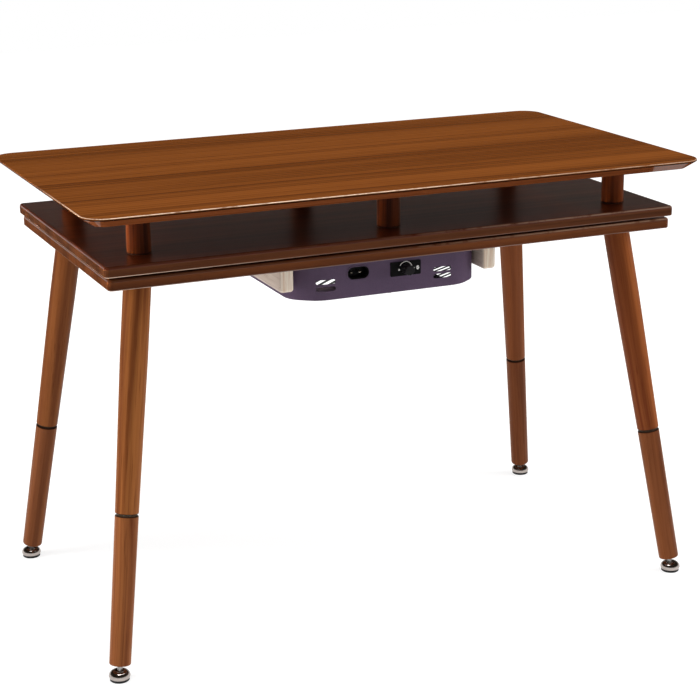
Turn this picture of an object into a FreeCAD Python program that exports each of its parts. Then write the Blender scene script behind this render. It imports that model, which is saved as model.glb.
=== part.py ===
import FreeCAD, Part
import math
import os

# Kotatsu table of desk height, with an electric heater under it.
# A desktop stands on six short posts over a shelf board. That upper unit only rests
# on the base board, so that a quilt can be laid between them. Four splayed legs in
# two lengths carry the base board and stand on level pads, and a heater hangs
# between two rails under it.
# Millimetres, +Z up, origin on the floor under the middle of the table.
# X runs along the length of the desktop, and the controls face -Y.

# Heights of the boards above the floor
desktop_top = 698.0
desktop_thickness = 16.0
post_height = 61.1
shelf_thickness = 16.1
quilt_gap = 3.4
base_thickness = 16.6

# Desktop
desktop_length = 1000.0
desktop_depth = 558.0
desktop_corner = 35.0
desktop_undercut = 20.0
desktop_nose_height = 3.2
desktop_nose_radius = 1.8
desktop_belly_radius = 5.0
desktop_lip_radius = 0.9

# Shelf board and base board, set back from the edges of the board above them
shelf_setback_x = 32.7
shelf_setback_y = 34.6
base_setback_x = 4.8
base_setback_y = 2.8
board_corner = 7.0
board_upper_round = 4.0
board_lower_round = 2.4

# Posts between the shelf board and the desktop
post_radius = 17.8
post_round = 1.6
post_inset_x = 71.6
post_inset_y = 69.1
post_bolt_radius = 3.0
post_bolt_play = 0.2
post_bolt_head_radius = 6.5
post_bolt_head_height = 3.6
post_bolt_head_sink = 4.4
insert_radius = 6.0
insert_height = 12.0

# Soft pads that the shelf board rests on
grip_pad_radius = 11.0
grip_pad_inset_x = 37.5
grip_pad_inset_y = 36.6

# Legs: centre line from the underside of the base board down to the floor
leg_inset_x = 61.8
leg_inset_y = 63.2
leg_spread_x = 79.7
leg_spread_y = 81.8
leg_top_radius = 20.5
leg_joint_radius = 17.6
leg_end_radius = 16.1
leg_shoulder_height = 470.0
leg_joint_height = 245.7
leg_end_height = 23.4
leg_joint_round = 2.2
leg_joint_gap = 2.2
leg_end_round = 2.6

# Fastenings of the legs
board_insert_radius = 7.5
board_insert_height = 12.0
hanger_bolt_radius = 4.0
hanger_bolt_in_leg = 45.0
hanger_bolt_in_board = 11.0
joint_nut_radius = 8.0
joint_nut_height = 18.0
joint_stud_radius = 5.0
joint_stud_in_upper = 24.0
joint_stud_in_extension = 28.0
stud_pocket_spare = 3.0
bolt_chamfer = 0.8

# Level pads
pad_rubber_radius = 14.6
pad_rubber_height = 4.5
pad_rubber_round = 0.9
pad_rim_radius = 15.3
pad_wide_radius = 16.1
pad_wide_height = 7.4
pad_cap_top = 15.5
pad_neck_radius = 7.6
pad_mouth_radius = 6.3
pad_throat_height = 3.1
ball_radius = 6.0
ball_height = 9.0
ball_clearance = 0.08
stem_radius = 4.0
stem_clearance = 0.05
stem_in_leg = 26.0
leg_nut_radius = 6.2
leg_nut_height = 16.0
stem_pocket_spare = 4.0
stem_pocket_radius = 4.6

# Rails
rail_play = 0.5
rail_width = 22.4
rail_height = 48.4
rail_setback = 2.3
rail_round = 4.6
rail_screw_y = 130.0
rail_screw_radius = 2.2
rail_screw_head_radius = 4.4
rail_screw_head_height = 3.0
rail_screw_length = 42.0

# Heater case
case_half_width = 158.9
case_front = 185.0
case_slope_x = 38.5
case_slope_y = 30.5
case_side_blend = 40.0
case_front_blend = 50.0
case_height = 63.0
case_top_gap = 4.0
case_sheet = 1.0
case_bend = 1.5
case_lip = 4.6

# Air slots in the front and rear walls of the case, with drops from the top of the case
slot_length = 31.0
slot_height = 7.0
slot_left_inset = 50.7
slot_right_inset = 71.8
slot_upper_drop = 34.4
slot_lower_drop = 45.2

# Guard under the heater
guard_sheet = 1.0
guard_clearance = 0.4
guard_margin = 5.8
guard_margin_y = 24.0
guard_spine = 14.0
guard_spine_inset = 55.9
guard_slot_share = 0.66
guard_shift_share = 0.25
guard_middle_pitch = 13.5
guard_middle_angle = 42.0
guard_side_pitch = 9.5
guard_side_angle = 32.0
guard_screw_inset = 7.0
guard_screw_pad_radius = 8.0
guard_screw_radius = 1.5
guard_screw_head_radius = 3.2
guard_screw_head_height = 1.6
guard_screw_length = 5.0
guard_screw_y = 60.0
cross_width = 0.9
cross_length = 3.8
cross_depth = 0.9

# Screws that hold the case to the rails
side_screw_radius = 2.0
side_screw_head_radius = 4.2
side_screw_head_height = 2.4
side_screw_in_rail = 16.0
side_screw_y = 110.0
side_screw_drop = 19.8

# Reflector and heating tubes
reflector_end_gap = 22.9
reflector_flat = 92.0
reflector_spread = 122.0
reflector_drop = 28.0
reflector_sheet = 0.8
tube_y = 54.0
tube_drop = 32.8
tube_radius = 6.0
tube_wall = 1.0
tube_end_inset = 32.9
coil_radius = 3.4
coil_end_inset = 14.0
coil_end_radius = 1.4
holder_end_inset = 6.0
holder_thickness = 9.0
holder_width = 24.0
holder_below = 11.0
holder_round = 4.0
holder_play = 0.1

# Control plate, thermostat and knob
control_x = 23.7
control_drop = 26.6
plate_width = 51.0
plate_height = 22.2
plate_thickness = 1.4
plate_corner = 1.6
thermostat_width = 28.0
thermostat_height = 21.0
thermostat_depth = 16.0
thermostat_round = 1.5
bushing_radius = 4.0
bushing_length = 5.4
bushing_play = 0.15
spindle_radius = 2.9
spindle_play = 0.06
spindle_inside = 10.0
spindle_outside = 14.0
nut_across_flats = 10.0
nut_height = 1.8
knob_radius = 8.5
knob_front_radius = 7.9
knob_length = 15.6
knob_gap = 0.8
knob_recess_radius = 7.0
knob_recess_depth = 2.2
knob_round = 0.9
knob_flutes = 12
knob_flute_radius = 0.9
knob_mark_width = 1.2
knob_mark_height = 0.5
knob_mark_angle = 187.0

# Appliance inlet
inlet_x = -55.3
inlet_drop = 25.2
inlet_width = 36.0
inlet_height = 19.4
inlet_depth = 20.0
inlet_wall = 1.6
inlet_rim_width = 1.3
inlet_rim_height = 0.7
pin_offset_left = -9.8
pin_offset_right = 4.8
pin_radius = 2.1
pin_length = 14.0
pin_tail = 7.0

# Small parts inside the case
baffle_shift = 8.2
baffle_half_length = 22.0
baffle_setback = 19.0
baffle_height = 16.0
baffle_foot = 10.0
baffle_sheet = 0.8
terminal_x = -16.0
terminal_setback = 32.0
terminal_length = 32.0
terminal_depth = 15.0
terminal_height = 12.0
terminal_slots = 4
terminal_slot_width = 4.2
terminal_slot_depth = 5.0
fuse_y = -80.0
fuse_radius = 3.6
fuse_length = 26.0
fuse_tail_radius = 0.7
fuse_tail_length = 8.0
fuse_clip_length = 9.0
fuse_clip_width = 12.0
fuse_clip_height = 5.0
lead_radius = 1.3
lead_bend = 3.5
lead_high = 9.0
lead_side = 10.0
lead_spacing = 8.0
lead_drop = 30.0

# One overrun for every cut, and the play allowed when edges are picked by height
overrun = 5.0
pick_play = 1e-4

# Heights and places that follow from the sizes above
shelf_length = desktop_length - 2 * shelf_setback_x
shelf_depth = desktop_depth - 2 * shelf_setback_y
base_length = shelf_length - 2 * base_setback_x
base_depth = shelf_depth - 2 * base_setback_y
post_x = shelf_length / 2 - post_inset_x
post_y = shelf_depth / 2 - post_inset_y
grip_pad_x = base_length / 2 - grip_pad_inset_x
grip_pad_y = base_depth / 2 - grip_pad_inset_y
leg_top_x = base_length / 2 - leg_inset_x
leg_top_y = base_depth / 2 - leg_inset_y
leg_foot_x = leg_top_x + leg_spread_x
leg_foot_y = leg_top_y + leg_spread_y
rail_inner_x = case_half_width + rail_play
slot_left_x = slot_left_inset - case_half_width
slot_right_x = case_half_width - slot_right_inset
guard_spine_x = case_half_width - guard_spine_inset
reflector_half_length = case_half_width - reflector_end_gap
tube_length = 2 * (case_half_width - tube_end_inset)
coil_length = tube_length - 2 * coil_end_inset
holder_x = tube_length / 2 - holder_end_inset
baffle_x = slot_left_x + baffle_shift
rail_front = case_front - rail_setback
desktop_bottom = desktop_top - desktop_thickness
shelf_top = desktop_bottom - post_height
shelf_bottom = shelf_top - shelf_thickness
base_top = shelf_bottom - quilt_gap
base_bottom = base_top - base_thickness
rail_bottom = base_bottom - rail_height
case_top = base_bottom - case_top_gap
case_bottom = case_top - case_height
case_roof = case_top - case_sheet
case_floor = case_bottom + case_sheet
case_front_y = -case_front
case_front_inner_y = case_front_y + case_sheet
slot_upper_z = case_top - slot_upper_drop
slot_lower_z = case_top - slot_lower_drop
side_screw_z = case_top - side_screw_drop
tube_z = case_top - tube_drop
control_z = case_top - control_drop
inlet_z = case_top - inlet_drop
reflector_top = case_roof
reflector_under = reflector_top - reflector_sheet

corners = {
    "front_left": (-1, -1),
    "front_right": (1, -1),
    "rear_left": (-1, 1),
    "rear_right": (1, 1),
}
post_places = {
    "front_left": (-1, -1),
    "front_middle": (0, -1),
    "front_right": (1, -1),
    "rear_left": (-1, 1),
    "rear_middle": (0, 1),
    "rear_right": (1, 1),
}


# Basic shapes

def vec(x, y, z):
    return FreeCAD.Vector(x, y, z)


def save(name, shape):
    shape.exportStep("parts/" + name + ".step")
    print(name, len(shape.Solids), "solids")


def block(x0, x1, y0, y1, z0, z1):
    corner = vec(min(x0, x1), min(y0, y1), min(z0, z1))
    return Part.makeBox(abs(x1 - x0), abs(y1 - y0), abs(z1 - z0), corner)


def rod(radius, start, direction, length):
    return Part.makeCylinder(radius, length, start, direction)


def rounded(points, radii, z):
    """A closed wire in a level plane through corner points, each rounded by its radius."""
    spots = [vec(x, y, z) for x, y in points]
    arcs = []
    for index, spot in enumerate(spots):
        back = (spots[index - 1] - spot).normalize()
        ahead = (spots[(index + 1) % len(spots)] - spot).normalize()
        half_turn = (math.pi - back.getAngle(ahead)) / 2
        reach = radii[index] * math.tan(half_turn)
        cut = radii[index] * (1 / math.cos(half_turn) - 1)
        middle = spot + (back + ahead).normalize() * cut
        arcs.append((spot + back * reach, middle, spot + ahead * reach))
    edges = []
    for index, (start, middle, end) in enumerate(arcs):
        edges.append(Part.Arc(start, middle, end).toShape())
        edges.append(Part.makeLine(end, arcs[(index + 1) % len(arcs)][0]))
    return Part.Wire(edges)


def outline(length, depth, corner, z):
    """A rectangle with round corners as a closed wire in a level plane."""
    x = length / 2
    y = depth / 2
    return rounded([(x, y), (-x, y), (-x, -y), (x, -y)], [corner] * 4, z)


def plate(length, depth, corner, z0, z1):
    face = Part.Face(outline(length, depth, corner, z0))
    return face.extrude(vec(0, 0, z1 - z0))


def flat_edges(shape, z):
    """The edges of a shape that lie wholly at one height."""
    found = []
    for edge in shape.Edges:
        box = edge.BoundBox
        if abs(box.ZMin - z) < pick_play and abs(box.ZMax - z) < pick_play:
            found.append(edge)
    return found


def turned(points, bulges=None):
    """Turn a closed outline of (radius, height) points about the Z axis.

    bulges maps the index of a point to the point that the arc from it passes through.
    """
    bulges = bulges or {}
    edges = []
    for index, (radius, height) in enumerate(points):
        next_radius, next_height = points[(index + 1) % len(points)]
        start = vec(radius, 0, height)
        end = vec(next_radius, 0, next_height)
        if index in bulges:
            middle = vec(bulges[index][0], 0, bulges[index][1])
            edges.append(Part.Arc(start, middle, end).toShape())
        else:
            edges.append(Part.makeLine(start, end))
    face = Part.Face(Part.Wire(edges))
    return face.revolve(vec(0, 0, 0), vec(0, 0, 1), 360)


def stadium(x, z, width, height, y0, y1):
    """A bar with round ends, long in X, that runs from y0 to y1."""
    radius = height / 2
    reach = width / 2 - radius
    left_top = vec(x - reach, y0, z + radius)
    left_out = vec(x - reach - radius, y0, z)
    left_low = vec(x - reach, y0, z - radius)
    right_low = vec(x + reach, y0, z - radius)
    right_out = vec(x + reach + radius, y0, z)
    right_top = vec(x + reach, y0, z + radius)
    edges = [
        Part.Arc(left_top, left_out, left_low).toShape(),
        Part.makeLine(left_low, right_low),
        Part.Arc(right_low, right_out, right_top).toShape(),
        Part.makeLine(right_top, left_top),
    ]
    return Part.Face(Part.Wire(edges)).extrude(vec(0, y1 - y0, 0))


def pin_with_ends(radius, length, chamfer):
    """A round pin up the Z axis with a chamfer at both ends."""
    points = [
        (0, 0),
        (radius - chamfer, 0),
        (radius, chamfer),
        (radius, length - chamfer),
        (radius - chamfer, length),
        (0, length),
    ]
    return turned(points)


def placed(shape, position, up):
    """Move a shape built up the Z axis to a position and tilt Z to up."""
    moved = shape.copy()
    move = FreeCAD.Placement(position, FreeCAD.Rotation(vec(0, 0, 1), up))
    moved.Placement = move.multiply(shape.Placement)
    return moved


# Leg centre lines

def leg_up(sx, sy):
    """Unit vector up the centre line of one leg."""
    top = vec(sx * leg_top_x, sy * leg_top_y, base_bottom)
    foot = vec(sx * leg_foot_x, sy * leg_foot_y, 0)
    return (top - foot).normalize()


def leg_point(sx, sy, height):
    """Point on the centre line of one leg at a height above the floor."""
    share = height / base_bottom
    x = leg_foot_x + (leg_top_x - leg_foot_x) * share
    y = leg_foot_y + (leg_top_y - leg_foot_y) * share
    return vec(sx * x, sy * y, height)


def along_leg(height):
    """Distance along the centre line from the floor to a height."""
    return height / leg_up(1, 1).z


# Upper unit

def make_desktop():
    nose_z = desktop_top - desktop_nose_height
    inset = 2 * desktop_undercut
    low = outline(desktop_length - inset, desktop_depth - inset,
                  desktop_corner - desktop_undercut, desktop_bottom)
    wide = outline(desktop_length, desktop_depth, desktop_corner, nose_z)
    bevel = Part.makeLoft([low, wide], True, True)
    bevel = bevel.makeFillet(desktop_belly_radius, flat_edges(bevel, desktop_bottom))
    nose = plate(desktop_length, desktop_depth, desktop_corner, nose_z, desktop_top)
    nose = nose.makeFillet(desktop_nose_radius, flat_edges(nose, desktop_top))
    body = bevel.fuse(nose)
    for sx, sy in post_places.values():
        place = vec(sx * post_x, sy * post_y, desktop_bottom)
        body = body.cut(rod(insert_radius, place, vec(0, 0, 1), insert_height))
    return body


def make_post():
    """Round post with eased ends and a hole for its bolt."""
    bore = post_bolt_radius + post_bolt_play
    turn = post_round * (1 - math.sqrt(0.5))
    points = [
        (bore, 0),
        (post_radius - post_round, 0),
        (post_radius, post_round),
        (post_radius, post_height - post_round),
        (post_radius - post_round, post_height),
        (bore, post_height),
    ]
    low_turn = (post_radius - turn, turn)
    high_turn = (post_radius - turn, post_height - turn)
    return turned(points, {1: low_turn, 3: high_turn})


def make_post_bolt():
    """Bolt from the underside of the shelf board up into the desktop."""
    head = post_bolt_head_height
    shank = shelf_thickness - post_bolt_head_sink + post_height + insert_height
    end = head + shank - bolt_chamfer
    points = [
        (0, 0),
        (post_bolt_head_radius - bolt_chamfer, 0),
        (post_bolt_head_radius, bolt_chamfer),
        (post_bolt_head_radius, head),
        (post_bolt_radius, head),
        (post_bolt_radius, end - bolt_chamfer),
        (post_bolt_radius - bolt_chamfer, end),
        (0, end),
    ]
    return turned(points)


def make_insert():
    return turned([
        (post_bolt_radius, 0),
        (insert_radius, 0),
        (insert_radius, insert_height),
        (post_bolt_radius, insert_height),
    ])


def ease_edges(board, z0, z1):
    """Round the upper edge of a plain board fully and the lower edge a little."""
    board = board.makeFillet(board_upper_round, flat_edges(board, z1))
    return board.makeFillet(board_lower_round, flat_edges(board, z0))


def make_shelf_board():
    board = plate(shelf_length, shelf_depth, board_corner, shelf_bottom, shelf_top)
    board = ease_edges(board, shelf_bottom, shelf_top)
    for sx, sy in post_places.values():
        place = vec(sx * post_x, sy * post_y, shelf_bottom - overrun)
        board = board.cut(rod(post_bolt_radius + post_bolt_play, place, vec(0, 0, 1),
                              shelf_thickness + 2 * overrun))
        board = board.cut(rod(post_bolt_head_radius + post_bolt_play, place, vec(0, 0, 1),
                              post_bolt_head_sink + overrun))
    return board


def make_upper_unit():
    save("desktop", make_desktop())
    save("shelf_board", make_shelf_board())
    post = make_post()
    bolt = make_post_bolt()
    insert = make_insert()
    bolts = []
    inserts = []
    head_z = shelf_bottom + post_bolt_head_sink - post_bolt_head_height
    for place, (sx, sy) in post_places.items():
        spot = vec(sx * post_x, sy * post_y, 0)
        save("post_" + place, post.translated(spot + vec(0, 0, shelf_top)))
        bolts.append(bolt.translated(spot + vec(0, 0, head_z)))
        inserts.append(insert.translated(spot + vec(0, 0, desktop_bottom)))
    save("post_bolts", Part.makeCompound(bolts))
    save("desktop_inserts", Part.makeCompound(inserts))


# Base board and what is fixed to its faces

def make_base_board():
    board = plate(base_length, base_depth, board_corner, base_bottom, base_top)
    board = ease_edges(board, base_bottom, base_top)
    for sx, sy in corners.values():
        place = vec(sx * leg_top_x, sy * leg_top_y, base_bottom)
        board = board.cut(rod(board_insert_radius, place, vec(0, 0, 1), board_insert_height))
    for x, y in rail_screw_places():
        board = board.cut(rail_screw(True).translated(vec(x, y, base_top)))
    return board


def rail_screw_places():
    middle = rail_inner_x + rail_width / 2
    return [(side * middle, step * rail_screw_y) for side in (-1, 1) for step in (-1, 0, 1)]


def rail_screw(for_hole=False):
    """Countersunk screw that hangs down from z = 0."""
    top = overrun if for_hole else 0
    points = [(0, -rail_screw_length)]
    points.append((rail_screw_radius, bolt_chamfer - rail_screw_length))
    points.append((rail_screw_radius, -rail_screw_head_height))
    points.append((rail_screw_head_radius, 0))
    if for_hole:
        points.append((rail_screw_head_radius, top))
    points.append((0, top))
    return turned(points)


def make_grip_pads():
    pads = []
    for sx in (-1, 0, 1):
        for sy in (-1, 1):
            place = vec(sx * grip_pad_x, sy * grip_pad_y, base_top)
            pads.append(rod(grip_pad_radius, place, vec(0, 0, 1), quilt_gap))
    return Part.makeCompound(pads)


def make_board_insert():
    return turned([
        (hanger_bolt_radius, 0),
        (board_insert_radius, 0),
        (board_insert_radius, board_insert_height),
        (hanger_bolt_radius, board_insert_height),
    ])


def make_rail(side):
    """Laminated rail with its lower edges and its ends rounded."""
    inner = side * rail_inner_x
    outer = side * (rail_inner_x + rail_width)
    rail = block(inner, outer, -rail_front, rail_front, rail_bottom, base_bottom)
    upright = [edge for edge in rail.Edges if edge.BoundBox.ZLength > rail_height / 2]
    rail = rail.makeFillet(rail_round, flat_edges(rail, rail_bottom) + upright)
    for x, y in rail_screw_places():
        if x * side > 0:
            rail = rail.cut(rail_screw().translated(vec(x, y, base_top)))
    for step in (-1, 1):
        place = vec(inner, step * side_screw_y, side_screw_z)
        rail = rail.cut(rod(side_screw_radius, place, vec(side, 0, 0), side_screw_in_rail))
    return rail


def make_base():
    save("base_board", make_base_board())
    save("antislip_pads", make_grip_pads())
    insert = make_board_insert()
    bolt = pin_with_ends(hanger_bolt_radius, hanger_bolt_in_leg + hanger_bolt_in_board, bolt_chamfer)
    inserts = []
    bolts = []
    for sx, sy in corners.values():
        place = vec(sx * leg_top_x, sy * leg_top_y, base_bottom)
        inserts.append(insert.translated(place))
        bolts.append(bolt.translated(place - vec(0, 0, hanger_bolt_in_leg)))
    save("board_inserts", Part.makeCompound(inserts))
    save("hanger_bolts", Part.makeCompound(bolts))
    save("rail_left", make_rail(-1))
    save("rail_right", make_rail(1))
    screws = [rail_screw().translated(vec(x, y, base_top)) for x, y in rail_screw_places()]
    save("rail_screws", Part.makeCompound(screws))


# Legs

def make_upper_leg(sx, sy):
    """Round at the top, tapered below the shoulder, cut level under the base board."""
    joint = along_leg(leg_joint_height)
    shoulder = along_leg(leg_shoulder_height)
    top = along_leg(base_bottom) + 2 * leg_top_radius
    turn = leg_joint_round * (1 - math.sqrt(0.5))
    leg = turned([
        (0, joint),
        (leg_joint_radius - leg_joint_round, joint),
        (leg_joint_radius, joint + leg_joint_round),
        (leg_top_radius, shoulder),
        (leg_top_radius, top),
        (0, top),
    ], {1: (leg_joint_radius - turn, joint + turn)})
    nut_top = joint + joint_nut_height
    pocket_top = joint + joint_stud_in_upper + stud_pocket_spare
    leg = leg.cut(turned([
        (0, joint - overrun),
        (joint_nut_radius, joint - overrun),
        (joint_nut_radius, nut_top),
        (joint_stud_radius, nut_top),
        (joint_stud_radius, pocket_top),
        (0, pocket_top),
    ]))
    leg = placed(leg, leg_point(sx, sy, 0), leg_up(sx, sy))
    reach = 4 * leg_top_radius
    x = sx * leg_top_x
    y = sy * leg_top_y
    above = block(x - reach, x + reach, y - reach, y + reach, base_bottom, base_bottom + reach)
    leg = leg.cut(above)
    bolt_foot = vec(x, y, base_bottom - hanger_bolt_in_leg)
    return leg.cut(rod(hanger_bolt_radius, bolt_foot, vec(0, 0, 1), hanger_bolt_in_leg + overrun))


def leg_extension_blank():
    """Lower length of a leg on the Z axis, counted from the floor."""
    top = along_leg(leg_joint_height) - leg_joint_gap
    end = along_leg(leg_end_height)
    low_turn = leg_end_round * (1 - math.sqrt(0.5))
    high_turn = leg_joint_round * (1 - math.sqrt(0.5))
    leg = turned([
        (0, end),
        (leg_end_radius - leg_end_round, end),
        (leg_end_radius, end + leg_end_round),
        (leg_joint_radius, top - leg_joint_round),
        (leg_joint_radius - leg_joint_round, top),
        (0, top),
    ], {1: (leg_end_radius - low_turn, end + low_turn),
        3: (leg_joint_radius - high_turn, top - high_turn)})
    stud_foot = top - joint_stud_in_extension
    leg = leg.cut(rod(joint_stud_radius, vec(0, 0, stud_foot), vec(0, 0, 1),
                      joint_stud_in_extension + overrun))
    stem_top = along_leg(leg_end_height) + stem_in_leg + stem_pocket_spare
    return leg.cut(turned([
        (0, end - overrun),
        (leg_nut_radius, end - overrun),
        (leg_nut_radius, end + leg_nut_height),
        (stem_pocket_radius, end + leg_nut_height),
        (stem_pocket_radius, stem_top),
        (0, stem_top),
    ]))


def sleeve(inner, outer, z0, z1):
    return turned([(inner, z0), (outer, z0), (outer, z1), (inner, z1)])


def make_legs():
    joint = along_leg(leg_joint_height)
    end = along_leg(leg_end_height)
    extension = leg_extension_blank()
    extension_top = joint - leg_joint_gap
    joint_nut = sleeve(joint_stud_radius, joint_nut_radius, extension_top, joint + joint_nut_height)
    stud_length = joint_stud_in_extension + leg_joint_gap + joint_stud_in_upper
    stud = pin_with_ends(joint_stud_radius, stud_length, bolt_chamfer)
    stud = stud.translated(vec(0, 0, extension_top - joint_stud_in_extension))
    end_nut = sleeve(stem_radius + stem_clearance, leg_nut_radius, end, end + leg_nut_height)
    groups = {"joint_nuts": [], "extension_studs": [], "leg_end_nuts": []}
    for corner, (sx, sy) in corners.items():
        foot = leg_point(sx, sy, 0)
        up = leg_up(sx, sy)
        save("upper_leg_" + corner, make_upper_leg(sx, sy))
        save("leg_extension_" + corner, placed(extension, foot, up))
        groups["joint_nuts"].append(placed(joint_nut, foot, up))
        groups["extension_studs"].append(placed(stud, foot, up))
        groups["leg_end_nuts"].append(placed(end_nut, foot, up))
    for name, pieces in groups.items():
        save(name, Part.makeCompound(pieces))


# Level pads

def make_stem():
    """Threaded stem with a ball at its foot, ball centre at z = 0."""
    start = math.sqrt(ball_radius ** 2 - stem_radius ** 2)
    length = along_leg(leg_end_height) - along_leg(ball_height) + stem_in_leg
    points = [
        (0, -ball_radius),
        (stem_radius, start),
        (stem_radius, length - bolt_chamfer),
        (stem_radius - bolt_chamfer, length),
        (0, length),
    ]
    return turned(points, {0: (ball_radius, 0)})


def make_pad_rubber():
    """Rubber foot with the lower half of the ball socket, floor at z = 0."""
    socket = ball_radius + ball_clearance
    mouth = math.sqrt(socket ** 2 - (ball_height - pad_rubber_height) ** 2)
    half_angle = math.atan2(mouth, ball_height - pad_rubber_height) / 2
    points = [
        (0, 0),
        (pad_rubber_radius - pad_rubber_round, 0),
        (pad_rubber_radius, pad_rubber_round),
        (pad_rubber_radius, pad_rubber_height),
        (mouth, pad_rubber_height),
        (0, ball_height - socket),
    ]
    low_point = (socket * math.sin(half_angle), ball_height - socket * math.cos(half_angle))
    return turned(points, {4: low_point})


def make_pad_cap():
    """Domed metal cap over the rubber, with the upper half of the ball socket."""
    socket = ball_radius + ball_clearance
    below = ball_height - pad_rubber_height
    mouth = math.sqrt(socket ** 2 - below ** 2)
    throat = math.sqrt(socket ** 2 - pad_throat_height ** 2)
    dome_radius_share = 0.78
    dome_height_share = 0.62
    dome = (pad_neck_radius + (pad_wide_radius - pad_neck_radius) * dome_radius_share,
            pad_wide_height + (pad_cap_top - pad_wide_height) * dome_height_share)
    points = [
        (mouth, pad_rubber_height),
        (pad_rim_radius, pad_rubber_height),
        (pad_wide_radius, pad_wide_height),
        (pad_neck_radius, pad_cap_top),
        (pad_mouth_radius, pad_cap_top),
        (throat, ball_height + pad_throat_height),
    ]
    return turned(points, {2: dome, 5: (socket, ball_height)})


def make_pads():
    stem = make_stem()
    rubber = make_pad_rubber()
    cap = make_pad_cap()
    for corner, (sx, sy) in corners.items():
        ball = leg_point(sx, sy, ball_height)
        spot = vec(ball.x, ball.y, 0)
        save("glide_stem_" + corner, placed(stem, ball, leg_up(sx, sy)))
        save("glide_rubber_" + corner, rubber.translated(spot))
        save("glide_cap_" + corner, cap.translated(spot))


# Heater case and guard

def case_blank(inset, z0, z1):
    """The plan of the case, drawn in by an inset all round, between two heights."""
    x = case_half_width - inset
    y = case_front - inset
    slope = math.hypot(case_slope_x, case_slope_y)
    spare = inset * (slope - case_slope_x - case_slope_y)
    across = case_slope_x + spare / case_slope_y
    along = case_slope_y + spare / case_slope_x
    points = []
    radii = []
    side_radius = case_side_blend - inset
    front_radius = case_front_blend - inset
    for sx, sy in ((1, 1), (-1, 1), (-1, -1), (1, -1)):
        ends = [(sx * x, sy * (y - along), side_radius), (sx * (x - across), sy * y, front_radius)]
        if sx * sy < 0:
            ends.reverse()
        for end_x, end_y, radius in ends:
            points.append((end_x, end_y))
            radii.append(radius)
    return Part.Face(rounded(points, radii, z0)).extrude(vec(0, 0, z1 - z0))


def screw_pads():
    """Round fields of solid sheet about the guard screws."""
    pads = []
    for x, y in guard_screw_places():
        start = vec(x, y, case_bottom - overrun)
        pads.append(rod(guard_screw_pad_radius, start, vec(0, 0, 1), 2 * overrun + case_sheet))
    return Part.makeCompound(pads)


def make_heater_case():
    outer = case_blank(0, case_bottom, case_top)
    outer = outer.makeFillet(case_bend, flat_edges(outer, case_bottom) + flat_edges(outer, case_top))
    inner = case_blank(case_sheet, case_floor, case_roof)
    inner_bend = case_bend - case_sheet
    inner = inner.makeFillet(inner_bend, flat_edges(inner, case_floor) + flat_edges(inner, case_roof))
    case = outer.cut(inner)
    case = case.fuse(stadium(inlet_x, inlet_z, inlet_width + 2 * inlet_rim_width,
                             inlet_height + 2 * inlet_rim_width,
                             case_front_y - inlet_rim_height, case_front_inner_y))
    mouth = case_blank(case_lip, case_bottom - overrun, case_floor + case_sheet).cut(screw_pads())
    cutters = [mouth] + air_slots() + case_holes()
    return case.cut(Part.makeCompound(cutters))


def air_slots():
    """Two stacked slots at each end of the front and rear walls."""
    cutters = []
    for x in (slot_left_x, slot_right_x):
        for z in (slot_upper_z, slot_lower_z):
            for y in (-case_front, case_front):
                cutters.append(stadium(x, z, slot_length, slot_height, y - 3 * overrun, y + 3 * overrun))
    return cutters


def case_holes():
    front = case_front_y - overrun
    back = case_front_y + overrun
    holes = [stadium(inlet_x, inlet_z, inlet_width, inlet_height, front, back)]
    start = vec(control_x, front, control_z)
    holes.append(rod(bushing_radius + bushing_play, start, vec(0, 1, 0), 2 * overrun))
    for side in (-1, 1):
        for step in (-1, 1):
            start = vec(side * (case_half_width - overrun), step * side_screw_y, side_screw_z)
            holes.append(rod(side_screw_radius, start, vec(side, 0, 0), 2 * overrun))
    for x, y in guard_screw_places():
        start = vec(x, y, case_bottom - overrun)
        holes.append(rod(guard_screw_radius, start, vec(0, 0, 1), 2 * overrun))
    return holes


def guard_screw_places():
    x = case_half_width - guard_screw_inset
    y = case_front - guard_screw_inset
    places = [(side * x, step * guard_screw_y) for side in (-1, 1) for step in (-1, 1)]
    return places + [(0, side * y) for side in (-1, 1)]


def guard_fields():
    """Open fields of the guard, with the pitch and slant of the slots in each."""
    reach_x = case_half_width
    reach_y = case_front - guard_margin_y
    half = guard_spine / 2
    columns = [(-reach_x, -guard_spine_x - half, guard_side_pitch, guard_side_angle),
               (half - guard_spine_x, guard_spine_x - half, guard_middle_pitch, guard_middle_angle),
               (guard_spine_x + half, reach_x, guard_side_pitch, guard_side_angle)]
    area = case_blank(guard_margin, case_floor - overrun, case_floor + overrun).cut(screw_pads())
    fields = []
    for x0, x1, pitch, slant in columns:
        for y0, y1 in ((-reach_y, -half), (half, reach_y)):
            field = block(x0, x1, y0, y1, case_floor - overrun, case_floor + overrun)
            fields.append((field.common(area), pitch, slant))
    return fields


def guard_strips(pitch, slant):
    """Slanting bars of air that turn an open field into a row of slots."""
    reach = case_half_width + case_front
    count = int(reach / pitch)
    half = pitch * guard_slot_share / 2
    strips = []
    for index in range(-count, count + 1):
        middle = (index + guard_shift_share) * pitch
        strip = block(-reach, reach, middle - half, middle + half,
                      case_floor - overrun, case_floor + overrun)
        strip.rotate(vec(0, 0, 0), vec(0, 0, 1), slant)
        strips.append(strip)
    return Part.makeCompound(strips)


def make_guard():
    """Guard plate that lies on the lip inside the case, with rows of slanting slots."""
    sheet = case_blank(case_bend + guard_clearance, case_floor, case_floor + guard_sheet)
    for field, pitch, slant in guard_fields():
        sheet = sheet.cut(field.common(guard_strips(pitch, slant)))
    holes = []
    for x, y in guard_screw_places():
        holes.append(rod(guard_screw_radius, vec(x, y, case_bottom), vec(0, 0, 1), 2 * overrun))
    return sheet.cut(Part.makeCompound(holes))


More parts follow.
